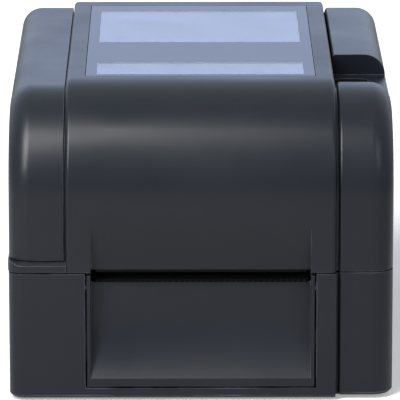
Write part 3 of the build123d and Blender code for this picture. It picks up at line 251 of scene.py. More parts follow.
class Effects:
    """The shader groups that the finishes share, each built once."""

    def __init__(self) -> None:
        """Builds every group."""
        self.grain = self.moulded_grain()
        self.wear = self.edge_wear()
        self.dust = self.settled_dust()
        self.brush = self.brush_lines()

    def moulded_grain(self) -> bpy.types.NodeTree:
        """Builds the spark-eroded grain of a plastic moulding.

        Returns:
            A group that puts out a height and a slow change of tone.
        """
        tree = Group("moulded_grain", Scale=1.0, Cloud=1.0)
        place = tree.place()
        fine = tree.noise(place, tree.times(tree.taken["Scale"], 1900.0), 3.0, 0.62)
        cells = tree.node("ShaderNodeTexVoronoi", {
            "Vector": place, "Scale": tree.times(tree.taken["Scale"], 1250.0)},
            feature="SMOOTH_F1").outputs["Distance"]
        height = tree.math("ADD", tree.times(fine, 0.7), tree.times(cells, 0.45))
        slow = tree.noise(place, tree.times(tree.taken["Cloud"], 14.0), 4.0, 0.55)
        return tree.close(Height=height, Tone=tree.spread(slow, 0.3, 0.7))

    def edge_wear(self) -> bpy.types.NodeTree:
        """Builds a mask of rubbed edges, broken up so that they wear unevenly.

        Returns:
            A group that puts out the mask.
        """
        tree = Group("edge_wear", Amount=0.5)
        edge = tree.node("ShaderNodeAttribute", attribute_name="edge").outputs["Fac"]
        broken = tree.spread(tree.noise(tree.place(), 55.0, 5.0, 0.6), 0.36, 0.66)
        return tree.close(Mask=tree.times(tree.times(edge, broken), tree.taken["Amount"]))

    def settled_dust(self) -> bpy.types.NodeTree:
        """Builds a mask of fine dust, thicker on faces that look up, with speckles.

        Returns:
            A group that puts out the mask.
        """
        tree = Group("settled_dust", Amount=0.2)
        normal = tree.node("ShaderNodeNewGeometry").outputs["Normal"]
        up = tree.node("ShaderNodeSeparateXYZ", {0: normal}).outputs["Z"]
        place = tree.place()
        cloud = tree.spread(tree.noise(place, 38.0, 6.0, 0.7), 0.35, 0.75)
        specks = tree.spread(tree.noise(place, 950.0, 2.0), 0.62, 0.74)
        film = tree.times(cloud, tree.spread(up, 0.2, 1.0, 0.25, 1.0))
        both = tree.math("ADD", film, tree.times(specks, 0.6))
        return tree.close(Mask=tree.times(both, tree.taken["Amount"]))

    def brush_lines(self) -> bpy.types.NodeTree:
        """Builds drawn lines along X on rolled or turned metal.

        Returns:
            A group that puts out a height and a tone.
        """
        tree = Group("brush_lines", Scale=1.0)
        place = tree.place()
        drawn = tree.node("ShaderNodeMapping", {"Vector": place, "Scale": (14.0, 900.0, 900.0)})
        lines = tree.noise(drawn.outputs[0], tree.taken["Scale"], 4.0, 0.7)
        slow = tree.noise(place, 30.0, 3.0)
        tone = tree.math("ADD", tree.times(lines, 0.6), tree.times(slow, 0.4))
        return tree.close(Height=lines, Tone=tree.spread(tone, 0.35, 0.65))


# Finishes

SLATE = (0.0044, 0.0056, 0.0088)
SLATE_LIGHT = (0.0052, 0.0064, 0.0098)
DUST = (0.42, 0.41, 0.39)


def new_material(name: str) -> tuple[bpy.types.Material, Tree]:
    """Makes an empty material.

    Args:
        name: The material's name.

    Returns:
        The material and its tree.
    """
    material = bpy.data.materials.new(name)
    material.use_nodes = True
    return material, Tree(material.node_tree)


@dataclass(frozen=True)
class Finish:
    """One finish: a material with grain, a slow change of tone, rubbed edges and dust.

    Colours are linear. The tone runs from colour to second, and rubbed edges take the worn colour.
    """

    name: str
    slot: str
    colour: Triple
    second: Triple
    worn: Triple = (0.20, 0.21, 0.23)
    texture: Texture = Texture.MOULDED
    roughness: float = 0.5
    gloss: float = 0.3
    metal: float = 0.0
    grain_scale: float = 1.0
    grain_depth: float = 0.03
    wear: float = 0.35
    dust: float = 0.05
    coat: float = 0.0
    cast_cloud: float = 4.0
    tone_rough: Pair = (-0.05, 0.06)
    wear_polish: float = 0.22
    dust_rough: float = 0.5

    def build(self, effects: Effects) -> bpy.types.Material:
        """Makes the material.

        Args:
            effects: The shared shader groups.

        Returns:
            The finished material.
        """
        material, tree = new_material(self.name)
        if self.texture is Texture.BRUSHED:
            grain = tree.effect(effects.brush, Scale=self.grain_scale)
        else:
            cloud = 1.0 if self.texture is Texture.MOULDED else self.cast_cloud
            grain = tree.effect(effects.grain, Scale=self.grain_scale, Cloud=cloud)
        wear = tree.effect(effects.wear, Amount=self.wear)["Mask"]
        dust = tree.effect(effects.dust, Amount=self.dust)["Mask"]
        tone = tree.blend(grain["Tone"], self.colour, self.second)
        dusty = tree.blend(dust, tree.blend(wear, tone, self.worn), DUST)
        rough = tree.spread(grain["Tone"], 0.0, 1.0,
                            *(self.roughness + change for change in self.tone_rough))
        rough = tree.math("SUBTRACT", rough, tree.times(wear, self.wear_polish))
        rough = tree.math("ADD", rough, tree.times(dust, self.dust_rough))
        tree.surface({
            "Base Color": dusty, "Roughness": rough, "Metallic": self.metal,
            "Normal": tree.bump(grain["Height"], self.grain_depth),
            "Specular IOR Level": self.gloss, "Coat Weight": self.coat})
        material.diffuse_color = (*self.colour, 1.0)
        return material


@dataclass(frozen=True)
class Metal(Finish):
    """A bare metal, drawn or turned unless its texture says otherwise."""

    texture: Texture = Texture.BRUSHED
    gloss: float = 0.5
    metal: float = 1.0


FINISHES = (
    Finish("cover_moulding", "cover", SLATE, SLATE_LIGHT, roughness=0.32, gloss=0.24, dust=0.008),
    Finish("case_moulding", "case", (0.0050, 0.0061, 0.0098), (0.0058, 0.0070, 0.0108),
           roughness=0.39, gloss=0.23, dust=0.01),
    Finish("control_moulding", "panel_plastic", (0.010, 0.012, 0.014), (0.013, 0.015, 0.018),
           roughness=0.46, gloss=0.35),
    Finish("button_moulding", "button_plastic", (0.055, 0.060, 0.068), (0.066, 0.071, 0.080),
           grain_scale=1.4),
    Finish("latch_moulding", "latch_plastic", (0.016, 0.018, 0.022), (0.021, 0.023, 0.028),
           roughness=0.48),
    Finish("inner_moulding", "inner_plastic", (0.020, 0.021, 0.023), (0.027, 0.028, 0.031),
           roughness=0.55, dust=0.10),
    Finish("guide_moulding", "guide_plastic", (0.050, 0.053, 0.058), (0.062, 0.065, 0.071),
           dust=0.08),
    Finish("spindle_moulding", "spindle_plastic", (0.030, 0.031, 0.034), (0.040, 0.041, 0.045),
           roughness=0.45),
    Finish("gear_moulding", "gear_plastic", (0.60, 0.58, 0.52), (0.68, 0.66, 0.60),
           worn=(0.75, 0.74, 0.70), roughness=0.42, gloss=0.5, wear=0.2),
    Finish("bush_moulding", "bush_plastic", (0.52, 0.50, 0.43), (0.60, 0.58, 0.50),
           worn=(0.7, 0.69, 0.64), roughness=0.4, gloss=0.5, wear=0.2),
    Finish("sensor_moulding", "sensor_plastic", (0.012, 0.012, 0.014), (0.018, 0.018, 0.021),
           roughness=0.4),
    Finish("socket_moulding", "socket_plastic", (0.012, 0.012, 0.013), (0.018, 0.018, 0.020),
           roughness=0.42),
    Finish("foot_rubber", "rubber", (0.018, 0.018, 0.019), (0.028, 0.028, 0.029),
           roughness=0.78, gloss=0.2, grain_scale=0.7, grain_depth=0.06, dust=0.22),
    Finish("platen_rubber", "platen_rubber", (0.016, 0.016, 0.018), (0.022, 0.022, 0.025),
           roughness=0.66, gloss=0.25, grain_scale=1.6, dust=0.04),
    Metal("zinc_sheet", "sheet_steel", (0.30, 0.31, 0.32), (0.44, 0.45, 0.47),
          worn=(0.62, 0.63, 0.65), texture=Texture.CAST, roughness=0.42, grain_scale=0.25,
          grain_depth=0.02),
    Metal("turned_steel", "steel", (0.40, 0.41, 0.42), (0.52, 0.53, 0.54),
          worn=(0.68, 0.68, 0.68), roughness=0.30, grain_depth=0.01),
    # This slot's finish is near-black and matte. That is partly the black oxide on the steel and
    # partly painted shade of the dark exit slot where the tear bar sits.
    Finish("blackened_steel", "black_steel", (0.0016, 0.0016, 0.0018), (0.0026, 0.0026, 0.0028),
           worn=(0.012, 0.012, 0.013), texture=Texture.CAST, roughness=0.62, gloss=0.06,
           grain_scale=0.5, grain_depth=0.02, wear=0.15, dust=0.0),
    Metal("motor_can", "motor_metal", (0.10, 0.10, 0.11), (0.17, 0.17, 0.18),
          worn=(0.42, 0.42, 0.42), roughness=0.38),
    Metal("socket_shell", "socket_metal", (0.42, 0.42, 0.41), (0.54, 0.54, 0.53),
          worn=(0.68, 0.68, 0.68), roughness=0.30, grain_scale=2.0),
    Metal("extruded_aluminium", "aluminium", (0.34, 0.35, 0.37), (0.42, 0.43, 0.45),
          worn=(0.60, 0.60, 0.61), roughness=0.38),
    # The head's ceramic is dark, and its colour is taken darker still as painted shade, so that the
    # exit slot in front of it reads black.
    Finish("glazed_ceramic", "head_ceramic", (0.002, 0.002, 0.0025), (0.004, 0.004, 0.0045),
           worn=(0.02, 0.02, 0.02), texture=Texture.CAST, roughness=0.34, gloss=0.12, dust=0.01,
           grain_depth=0.01),
)

# Finishes of parts that share a slot with another finish
TRIM_FINISHES = (
    Finish("window_print", "window", (0.0045, 0.0060, 0.0105), (0.0060, 0.0078, 0.0130),
           worn=(0.02, 0.022, 0.03), roughness=0.09, gloss=0.15, grain_depth=0.001, dust=0.01,
           wear=0.1),
    Metal("gold_contact", "socket_metal", (0.62, 0.42, 0.14), (0.74, 0.52, 0.20),
          worn=(0.8, 0.62, 0.3), roughness=0.26, dust=0.0),
    Finish("chip_epoxy", "sensor_plastic", (0.010, 0.010, 0.011), (0.016, 0.016, 0.017),
           roughness=0.55, grain_scale=2.0),
    Finish("switch_print", "gear_plastic", (0.62, 0.62, 0.60), (0.70, 0.70, 0.68),
           worn=(0.45, 0.45, 0.44), dust=0.04),
    Finish("green_lamp", "lens", (0.02, 0.16, 0.05), (0.03, 0.22, 0.07), roughness=0.25, gloss=0.5,
           grain_depth=0.005),
    Finish("amber_lamp", "lens", (0.34, 0.15, 0.01), (0.42, 0.20, 0.02), roughness=0.25, gloss=0.5,
           grain_depth=0.005),
    Finish("sensor_lens", "lens", (0.030, 0.004, 0.004), (0.045, 0.006, 0.006), roughness=0.12,
           gloss=0.5, coat=0.6, grain_depth=0.002),
)


class WindowGlass:
    """Clear pane with a trace of blue."""

    slot = "window"
    tints = ((0.90, 0.94, 0.98), (0.94, 0.965, 0.99))

    def build(self, effects: Effects) -> bpy.types.Material:
        """Makes the glass, with faint smears in its gloss.

        Args:
            effects: The shared shader groups.

        Returns:
            The finished material.
        """
        material, tree = new_material("window_glass")
        smear = tree.noise(tree.place(), 24.0, 5.0, distortion=0.8)
        tint = tree.blend(tree.spread(smear, 0.3, 0.7), *self.tints)
        dust = tree.effect(effects.dust, Amount=0.05)["Mask"]
        rough = tree.math("ADD", tree.spread(smear, 0.35, 0.75, 0.02, 0.09), dust)
        tree.surface({"Base Color": tint, "Roughness": rough, "Transmission Weight": 1.0,
                      "IOR": 1.33})
        return material


class CircuitBoard:
    """Green solder mask with copper tracks under it and tinned pads."""

    slot = "board"
    masks = ((0.004, 0.055, 0.018), (0.012, 0.12, 0.035))
    tin = (0.62, 0.61, 0.56)

    def build(self, effects: Effects) -> bpy.types.Material:
        """Makes the board's material.

        Args:
            effects: The shared shader groups.

        Returns:
            The finished material.
        """
        material, tree = new_material("circuit_board")
        place = tree.place()
        track = tree.node("ShaderNodeTexBrick", {
            "Vector": place, "Scale": 1.0, "Mortar Size": 0.00035, "Brick Width": 0.0125,
            "Row Height": 0.0014, "Color1": (*BLACK, 1.0), "Color2": (*BLACK, 1.0),
            "Mortar": (*WHITE, 1.0)}).outputs["Color"]
        pads = tree.node("ShaderNodeTexVoronoi", {
            "Vector": place, "Scale": 240.0, "Randomness": 0.55}).outputs["Distance"]
        pad = tree.spread(pads, 0.16, 0.13)
        colour = tree.blend(pad, tree.blend(track, *self.masks), self.tin)
        dust = tree.effect(effects.dust, Amount=0.12)["Mask"]
        tree.surface({
            "Base Color": tree.blend(dust, colour, DUST), "Metallic": pad,
            "Roughness": tree.spread(pad, 0.0, 1.0, 0.34, 0.28),
            "Normal": tree.bump(track, 0.04, strength=0.6)})
        return material


class StatusLens:
    """Milky lens of the status light, green even when it's unlit."""

    slot = "lens"
    tints = ((0.10, 0.17, 0.12), (0.14, 0.22, 0.16))

    def build(self, effects: Effects) -> bpy.types.Material:
        """Makes the lens's material.

        Args:
            effects: The shared shader groups.

        Returns:
            The finished material.
        """
        material, tree = new_material("status_lens")
        grain = tree.effect(effects.grain, Cloud=30.0)
        tree.surface({
            "Base Color": tree.blend(grain["Tone"], *self.tints),
            "Roughness": tree.spread(grain["Tone"], 0.0, 1.0, 0.28, 0.36),
            "Normal": tree.bump(grain["Height"], 0.02, strength=0.4)})
        return material


def slot_of(node: Piece) -> str:
    """Returns the record's material slot of a CAD node that hasn't been dressed yet."""
    return node.material_slots[0].material.name.split(".")[0]


class FinishBook:
    """Every finish of the printer by the name of its slot."""

    def __init__(self) -> None:
        """Builds the shared effects and all the materials."""
        effects = Effects()
        own = (*FINISHES, WindowGlass(), CircuitBoard(), StatusLens())
        self.by_slot = {finish.slot: finish.build(effects) for finish in own}
        self.trim = {finish.name: (finish.slot, finish.build(effects)) for finish in TRIM_FINISHES}

    def put(self, piece: Piece, name: str, body: Body) -> Piece:
        """Gives a piece its finish and puts it on its body.

        Args:
            piece: The object to dress.
            name: A slot, or the name of a trim finish.
            body: The body that it rides on.

        Returns:
            The same piece.
        """
        slot, material = self.trim.get(name) or (name, self.by_slot[name])
        piece.data.materials.clear()
        piece.data.materials.append(material)
        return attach(piece, body.value)

    def dress_nodes(self) -> None:
        """Gives every CAD node the finish of its slot, whether it shows or a piece hides it."""
        for node in frame["nodes"].values():
            material = self.by_slot[slot_of(node)]
            for holder in node.material_slots:
                holder.material = material


# Modelling by hand


def take(*pieces: Piece) -> None:
    """Selects these pieces alone and makes the first one active.

    Args:
        pieces: What to select.
    """
    bpy.ops.object.select_all(action="DESELECT")
    for piece in pieces:
        piece.select_set(True)
    bpy.context.view_layer.objects.active = pieces[0]


def named(piece: Piece, name: str) -> Piece:
    """Names a piece and its mesh and returns it."""
    piece.name = piece.data.name = name
    return piece


def added(name: str, size: Sequence[float] = (1.0, 1.0, 1.0)) -> Piece:
    """Names the primitive that was just added, and moves its place and size into its mesh.

    Args:
        name: The piece's name.
        size: How much it's stretched along each axis.

    Returns:
        The piece, with its object at the origin.
    """
    piece = named(bpy.context.active_object, name)
    piece.scale = size
    take(piece)
    bpy.ops.object.transform_apply(location=True, rotation=True, scale=True)
    return piece


def box(name: str, low: Sequence[float], high: Sequence[float]) -> Piece:
    """Adds a box between its lowest and its highest corner."""
    bpy.ops.mesh.primitive_cube_add(
        size=1.0, location=[(a + b) / 2 * MM for a, b in zip(low, high)])
    return added(name, [(b - a) * MM for a, b in zip(low, high)])


def rod(name: str, start_at: Sequence[float], axis: Axis, length: float, radius: float,
        sides: int = 32) -> Piece:
    """Adds a round bar that starts at a point and runs along an axis.

    Args:
        name: The piece's name.
        start_at: The middle of its first end.
        axis: The direction that it runs in.
        length: Its length; a negative length runs the other way.
        radius: Its radius.
        sides: How many sides stand for the round.

    Returns:
        The bar, with its place in its mesh.
    """
    way = Vector(axis.value)
    middle = (Vector(start_at) + way * length / 2) * MM
    turn = Vector(Axis.Z.value).rotation_difference(way).to_euler()
    bpy.ops.mesh.primitive_cylinder_add(vertices=sides, radius=radius * MM, depth=abs(length) * MM,
                                        location=middle, rotation=turn)
    return added(name)


def shape(piece: Piece, chosen: Callable[[object], bool], work: Callable[[], object],
          pick: Pick = Pick.FACE) -> None:
    """Selects faces or edges by a rule in edit mode and works on them.

    Args:
        piece: The piece to shape.
        chosen: Says whether a face or an edge is selected.
        work: The operators to run on the selection.
        pick: What the rule is asked about.
    """
    take(piece)
    bpy.ops.object.mode_set(mode="EDIT")
    bpy.ops.mesh.select_mode(type=pick.name)
    bpy.ops.mesh.select_all(action="DESELECT")
    mesh = bmesh.from_edit_mesh(piece.data)
    for element in getattr(mesh, pick.value):
        element.select = chosen(element)
    mesh.select_flush_mode()
    bmesh.update_edit_mesh(piece.data)
    work()
    bpy.ops.object.mode_set(mode="OBJECT")


def facing(axis: Axis, sign: float = 1.0) -> Callable[[bmesh.types.BMFace], bool]:
    """Returns a rule that picks the faces that look along an axis."""
    way = Vector(axis.value) * sign
    return lambda face: face.normal.dot(way) > ALONG


def round_off(amount: float, segments: int = 3) -> None:
    """Bevels the edges of the selection."""
    bpy.ops.mesh.bevel(offset=amount * MM, segments=segments, affect="EDGES")


def inset(amount: float) -> None:
    """Insets the selected faces."""
    bpy.ops.mesh.inset(thickness=amount * MM, use_boundary=True)


def pull(axis: Axis, amount: float) -> None:
    """Extrudes the selected faces along an axis."""
    move = Vector(axis.value) * amount * MM
    bpy.ops.mesh.extrude_region_move(TRANSFORM_OT_translate={"value": move})


def shift(axis: Axis, amount: float) -> None:
    """Moves the selection along an axis."""
    bpy.ops.transform.translate(value=Vector(axis.value) * amount * MM)


def resize(x: float, y: float, z: float) -> None:
    """Scales the selection about its middle."""
    bpy.ops.transform.resize(value=(x, y, z))


def ease(piece: Piece, axis: Axis, amount: float, segments: int = 3) -> None:
    """Rounds the rim of the faces that look along an axis."""
    shape(piece, facing(axis), lambda: round_off(amount, segments))


def modify(piece: Piece, kind: str, **settings: object) -> None:
    """Adds a modifier, sets it up and applies it.

    Args:
        piece: The piece to change.
        kind: The modifier's type name.
        settings: Its properties.
    """
    take(piece)
    modifier = piece.modifiers.new(kind.lower(), kind)
    for name, value in settings.items():
        setattr(modifier, name, value)
    bpy.ops.object.modifier_apply(modifier=modifier.name)


def cut(piece: Piece, cutter: Piece) -> None:
    """Cuts one closed piece out of another and removes the cutter."""
    modify(piece, "BOOLEAN", operation="DIFFERENCE", solver="EXACT", object=cutter)
    bpy.data.objects.remove(cutter, do_unlink=True)


def cross_cut(piece: Piece, halves: Pair, low: float, high: float) -> None:
    """Cuts an upright cross at the origin; halves are half an arm's length and width."""
    for along, across in (halves, halves[::-1]):
        cut(piece, box("arm", (-along, -across, low), (along, across, high)))


def soften(piece: Piece, width: float, segments: int = 1, angle: float = 35.0) -> Piece:
    """Bevels a piece's sharp edges, smooths it and marks the new strips for the wear mask.

    Args:
        piece: The piece to soften.
        width: The bevel's width.
        segments: How many strips each bevel has.
        angle: Edges that turn more than this are bevelled.

    Returns:
        The same piece.
    """
    while len(piece.data.materials) < 2:
        piece.data.materials.append(None)
    modify(piece, "BEVEL", width=width * MM, segments=segments, limit_method="ANGLE",
           angle_limit=math.radians(angle), use_clamp_overlap=False, miter_outer="MITER_ARC",
           material=1)
    edge = piece.data.attributes.new("edge", "FLOAT", "CORNER")
    for face in piece.data.polygons:
        for corner in face.loop_indices:
            edge.data[corner].value = float(face.material_index == 1)
    for face in piece.data.polygons:
        face.material_index = 0
    bpy.ops.object.shade_smooth_by_angle(angle=math.radians(SMOOTH_ANGLE))
    modify(piece, "WEIGHTED_NORMAL", keep_sharp=True)
    return piece


def merged_copy(name: str, flats: Flats) -> Piece:
    """Copies a CAD node under a new name, with its doubles merged.

    Args:
        name: The node's name.
        flats: Whether its flat triangles are joined, joined into convex faces only, or kept.

    Returns:
        The copy, at the origin and free of the node's custom normals.
    """
    node = frame["nodes"][name]
    piece = node.copy()
    piece.data = node.data.copy()
    for key in list(piece.keys()):
        del piece[key]
    piece.parent = None
    named(piece, f"{name}_dressed")
    bpy.context.scene.collection.objects.link(piece)
    take(piece)
    bpy.ops.mesh.customdata_custom_splitnormals_clear()
    bpy.ops.object.mode_set(mode="EDIT")
    bpy.ops.mesh.select_all(action="SELECT")
    bpy.ops.mesh.mark_sharp(clear=True)
    bpy.ops.mesh.remove_doubles(threshold=MERGE_REACH * MM)
    if flats is not Flats.KEPT:
        bpy.ops.mesh.dissolve_limited(angle_limit=math.radians(FLAT_ANGLE))
    if flats is Flats.CONVEX:
        bpy.ops.mesh.vert_connect_concave()
    bpy.ops.object.mode_set(mode="OBJECT")
    return piece


def joined(name: str, pieces: Sequence[Piece]) -> Piece:
    """Joins finished pieces into one.

    Args:
        name: The joined piece's name.
        pieces: What is joined, one or more.

    Returns:
        The joined piece.
    """
    take(*pieces)
    if len(pieces) > 1:
        bpy.ops.object.join()
    return named(pieces[0], name)


def turned(degrees: float, axis: Axis) -> Matrix:
    """Returns a turn about an axis through the origin."""
    return Matrix.Rotation(math.radians(degrees), 4, axis.name)


def copied(piece: Piece, name: str, move: Sequence[float], turn: Matrix) -> Piece:
    """Copies a finished piece with its own mesh, turns the copy and shifts it.

    Args:
        piece: The piece to copy.
        name: The copy's name.
        move: The shift.
        turn: The turn about the origin, before the shift.

    Returns:
        The copy, with its place in its mesh.
    """
    twin = piece.copy()
    twin.data = piece.data.copy()
    bpy.context.scene.collection.objects.link(twin)
    twin.data.transform(Matrix.Translation(Vector(move) * MM) @ turn)
    return named(twin, name)


def row_of(piece: Piece, name: str, places: Iterable[Sequence[float]],
           turn: Matrix = Matrix.Identity(4)) -> Piece:
    """Copies a piece to several places, joins the copies and removes the pattern.

    Args:
        piece: The pattern, modelled at the origin.
        name: The name of the joined set.
        places: Where the copies go.
        turn: The turn of every copy.

    Returns:
        The set as one piece.
    """
    copies = [copied(piece, f"{name}_{n}", place, turn) for n, place in enumerate(places)]
    bpy.data.objects.remove(piece, do_unlink=True)
    return joined(name, copies)


# Sub-assemblies


@dataclass
class Assembly:
    """Pieces that are modelled together, each with its finish and its body."""

    book: FinishBook

    def parts(self) -> list[Part]:
        """Models the pieces."""
        raise NotImplementedError

    def build(self) -> list[Piece]:
        """Models the pieces, gives them their finishes and puts them on their bodies."""
        return [self.book.put(*part) for part in self.parts()]


@dataclass
class Mouldings(Assembly):
    """The casing's mouldings, copied from the CAD with softened edges."""

    # The width of the softened edges, and the nodes that get it
    edges: tuple[tuple[float, tuple[str, ...]], ...] = (
        (0.28, ("lid_shell", "left_shoulder_cover", "right_shoulder_cover", "lower_case",
                "right_lower_cover")),
        (0.16, ("front_exit_panel", "control_panel", "media_tray", "cover_latch_right",
                "cover_latch_left", "rubber_feet", "switch_housing", "switch_rocker",
                "power_inlet", "media_guide_right", "media_guide_left", "gap_sensor",
                "mark_sensor", "platen_motor")),
        (0.10, ("main_frame", "hinge_bracket", "ribbon_frame", "print_head", "head_sink",
                "tear_bar", "usb_port", "host_port", "network_port", "supply_spindle",
                "rewind_spindle")),
    )
    pierced: tuple[str, ...] = ("lid_shell", "right_shoulder_cover", "lower_case", "main_frame",
                                "host_port")
    notched: tuple[str, ...] = ("front_exit_panel", "media_tray", "head_sink", "gap_sensor",
                                "switch_housing")

    def parts(self) -> list[Part]:
        """Makes every softened moulding."""
        return [self.dress(name, width) for width, names in self.edges for name in names]

    def dress(self, name: str, width: float) -> Part:
        """Copies one node and softens the copy, which takes the node's place.

        Args:
            name: The node's name.
            width: The width of its softened edges.

        Returns:
            The copy, with the node's own slot and body.
        """
        flats = Flats.JOINED
        if name in self.pierced:
            flats = Flats.KEPT
        elif name in self.notched:
            flats = Flats.CONVEX
        piece = soften(merged_copy(name, flats), width, segments=2)
        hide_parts(name)
        node = frame["nodes"][name]
        return piece, slot_of(node), Body(node["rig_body"])


@dataclass
class CoverWindow(Assembly):
    """The window: a glossy printed border, with two clear fields flush in it."""

    rear_field: Pair = (7.9, 96.7)
    front_field: Pair = (-77.2, -46.0)
    field_half: float = 55.7
    corner: float = 0.9
    corner_steps: int = 5
    seam: float = 0.02
    rim: float = 0.03
    rim_angle: float = 60.0

    def parts(self) -> list[Part]:
        """Makes the border and the two clear fields.

        Returns:
            The three plates.
        """
        low, high = (Vector(corner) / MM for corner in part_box("window"))
        border = self.border(low, high)
        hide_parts("window")
        made = [(border, "window_print", Body.COVER)]
        half = self.field_half - self.seam
        for name, (near, far) in (("front", self.front_field), ("rear", self.rear_field)):
            clear = box(f"window_{name}_field", (-half, near + self.seam, low.z),
                        (half, far - self.seam, high.z))
            self.round_corners(clear)
            made.append((clear, "window", Body.COVER))
        return made

    def border(self, low: Vector, high: Vector) -> Piece:
        """Makes the border from a grid whose cells over the clear fields are taken out.

        Args:
            low: The window's lowest corner.
            high: The window's highest corner.

        Returns:
            The border.
        """
        xs = (low.x, -self.field_half, self.field_half, high.x)
        ys = (low.y, *self.front_field, *self.rear_field, high.y)
        bpy.ops.mesh.primitive_grid_add(x_subdivisions=len(xs) - 1, y_subdivisions=len(ys) - 1,
                                        size=1.0)
        piece = added("window_border")
        for vertex in piece.data.vertices:
            column = round((vertex.co.x + 0.5) * (len(xs) - 1))
            row = round((vertex.co.y + 0.5) * (len(ys) - 1))
            vertex.co = Vector((xs[column], ys[row], low.z)) * MM
        fields = (self.front_field, self.rear_field)

        def is_field(face: bmesh.types.BMFace) -> bool:
            """Says whether a cell lies over a clear field."""
            x, y, _ = face.calc_center_median() / MM
            return abs(x) < self.field_half and any(near < y < far for near, far in fields)

        shape(piece, is_field, lambda: bpy.ops.mesh.delete(type="FACE"))
        modify(piece, "SOLIDIFY", thickness=(high.z - low.z) * MM, offset=1.0)
        rings = (((xs[0], xs[-1]), (ys[0], ys[-1])), (xs[1:-1], ys[1:-1]))
        self.round_corners(piece, {(round(x, 1), round(y, 1)) for across, along in rings
                                   for x in across for y in along})
        return piece

    def round_corners(self, piece: Piece, corners: set[Pair] | None = None) -> None:
        """Rounds a plate's upright corners and eases its rims.

        Args:
            piece: The plate.
            corners: Where its corners are, or None where every upright edge is one.
        """
        def is_corner(edge: bmesh.types.BMEdge) -> bool:
            """Says whether an edge is upright and at a corner."""
            way = (edge.verts[0].co - edge.verts[1].co).normalized()
            return abs(way.z) > ALONG and (corners is None or place_of(edge) in corners)

        def place_of(edge: bmesh.types.BMEdge) -> Pair:
            """Returns where an upright edge stands, to a tenth of a millimetre."""
            x, y, _ = edge.verts[0].co / MM
            return round(x, 1), round(y, 1)

        shape(piece, is_corner, lambda: round_off(self.corner, self.corner_steps), Pick.EDGE)
        soften(piece, self.rim, angle=self.rim_angle)


@dataclass(frozen=True)
class ScrewSet:
    """Screws of one size that point the same way, each placed by the seat of its head."""

    name: str
    head: float
    shank: float
    places: tuple[Triple, ...]
    degrees: float = 0.0
    axis: Axis = Axis.X


@dataclass
class Screws(Assembly):
    """Cross-head screws, each set copied from one screw."""

    head_radius: float = 2.8
    shank_radius: float = 1.5
    crown: float = 0.8
    crown_share: float = 0.55
    recess_halves: Pair = (1.45, 0.32)
    recess_share: float = 0.5
    tip_share: float = 0.2
    tip_scale: float = 0.6
    edge: float = 0.06
    edge_angle: float = 50.0
    sets: tuple[ScrewSet, ...] = (
        ScrewSet("frame_screw_set", 1.8, 6.0, tuple(
            (x, y, 10.5) for x in (-60.0, 60.0) for y in (-70.0, 4.0, 124.0))),
        ScrewSet("board_screw_set", 1.6, 3.6, tuple(
            (x, y, 8.1) for x in (-51.0, 51.0) for y in (88.0, 117.0))),
        ScrewSet("panel_screw_set", 1.1, 1.4, ((-50.0, 137.4, 28.0), (26.0, 137.4, 28.0)), -90.0),
        ScrewSet("motor_screw_set", 1.4, 0.8, tuple(
            (-33.0, y, z) for y in (-104.7, -80.7) for z in (15.4, 39.4)), 90.0, Axis.Y),
    )

    def parts(self) -> list[Part]:
        """Makes the four sets of screws.

        Returns:
            One piece for each set.
        """
        made = [row_of(self.screw(kind.head, kind.shank), kind.name, kind.places,
                       turned(kind.degrees, kind.axis)) for kind in self.sets]
        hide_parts("frame_screws")
        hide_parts("board_screws")
        return [(piece, "steel", Body.BASE) for piece in made]

    def screw(self, head: float, shank: float) -> Piece:
        """Models one screw at the origin, its head above and its shank below.

        Args:
            head: The head's height.
            shank: The length under the head.

        Returns:
            The screw.
        """
        piece = rod("screw", (0.0, 0.0, 0.0), Axis.Z, head, self.head_radius, sides=24)
        ease(piece, Axis.Z, min(self.crown, self.crown_share * head))

        def draw_shank() -> None:
            """Draws the shank out of the head's underside and points its tip."""
            inset(self.head_radius - self.shank_radius)
            pull(Axis.Z, (self.tip_share - 1.0) * shank)
            pull(Axis.Z, -self.tip_share * shank)
            resize(self.tip_scale, self.tip_scale, 1.0)

        shape(piece, facing(Axis.Z, -1.0), draw_shank)
        cross_cut(piece, self.recess_halves, head * (1.0 - self.recess_share), head + 1.0)
        return soften(piece, self.edge, angle=self.edge_angle)


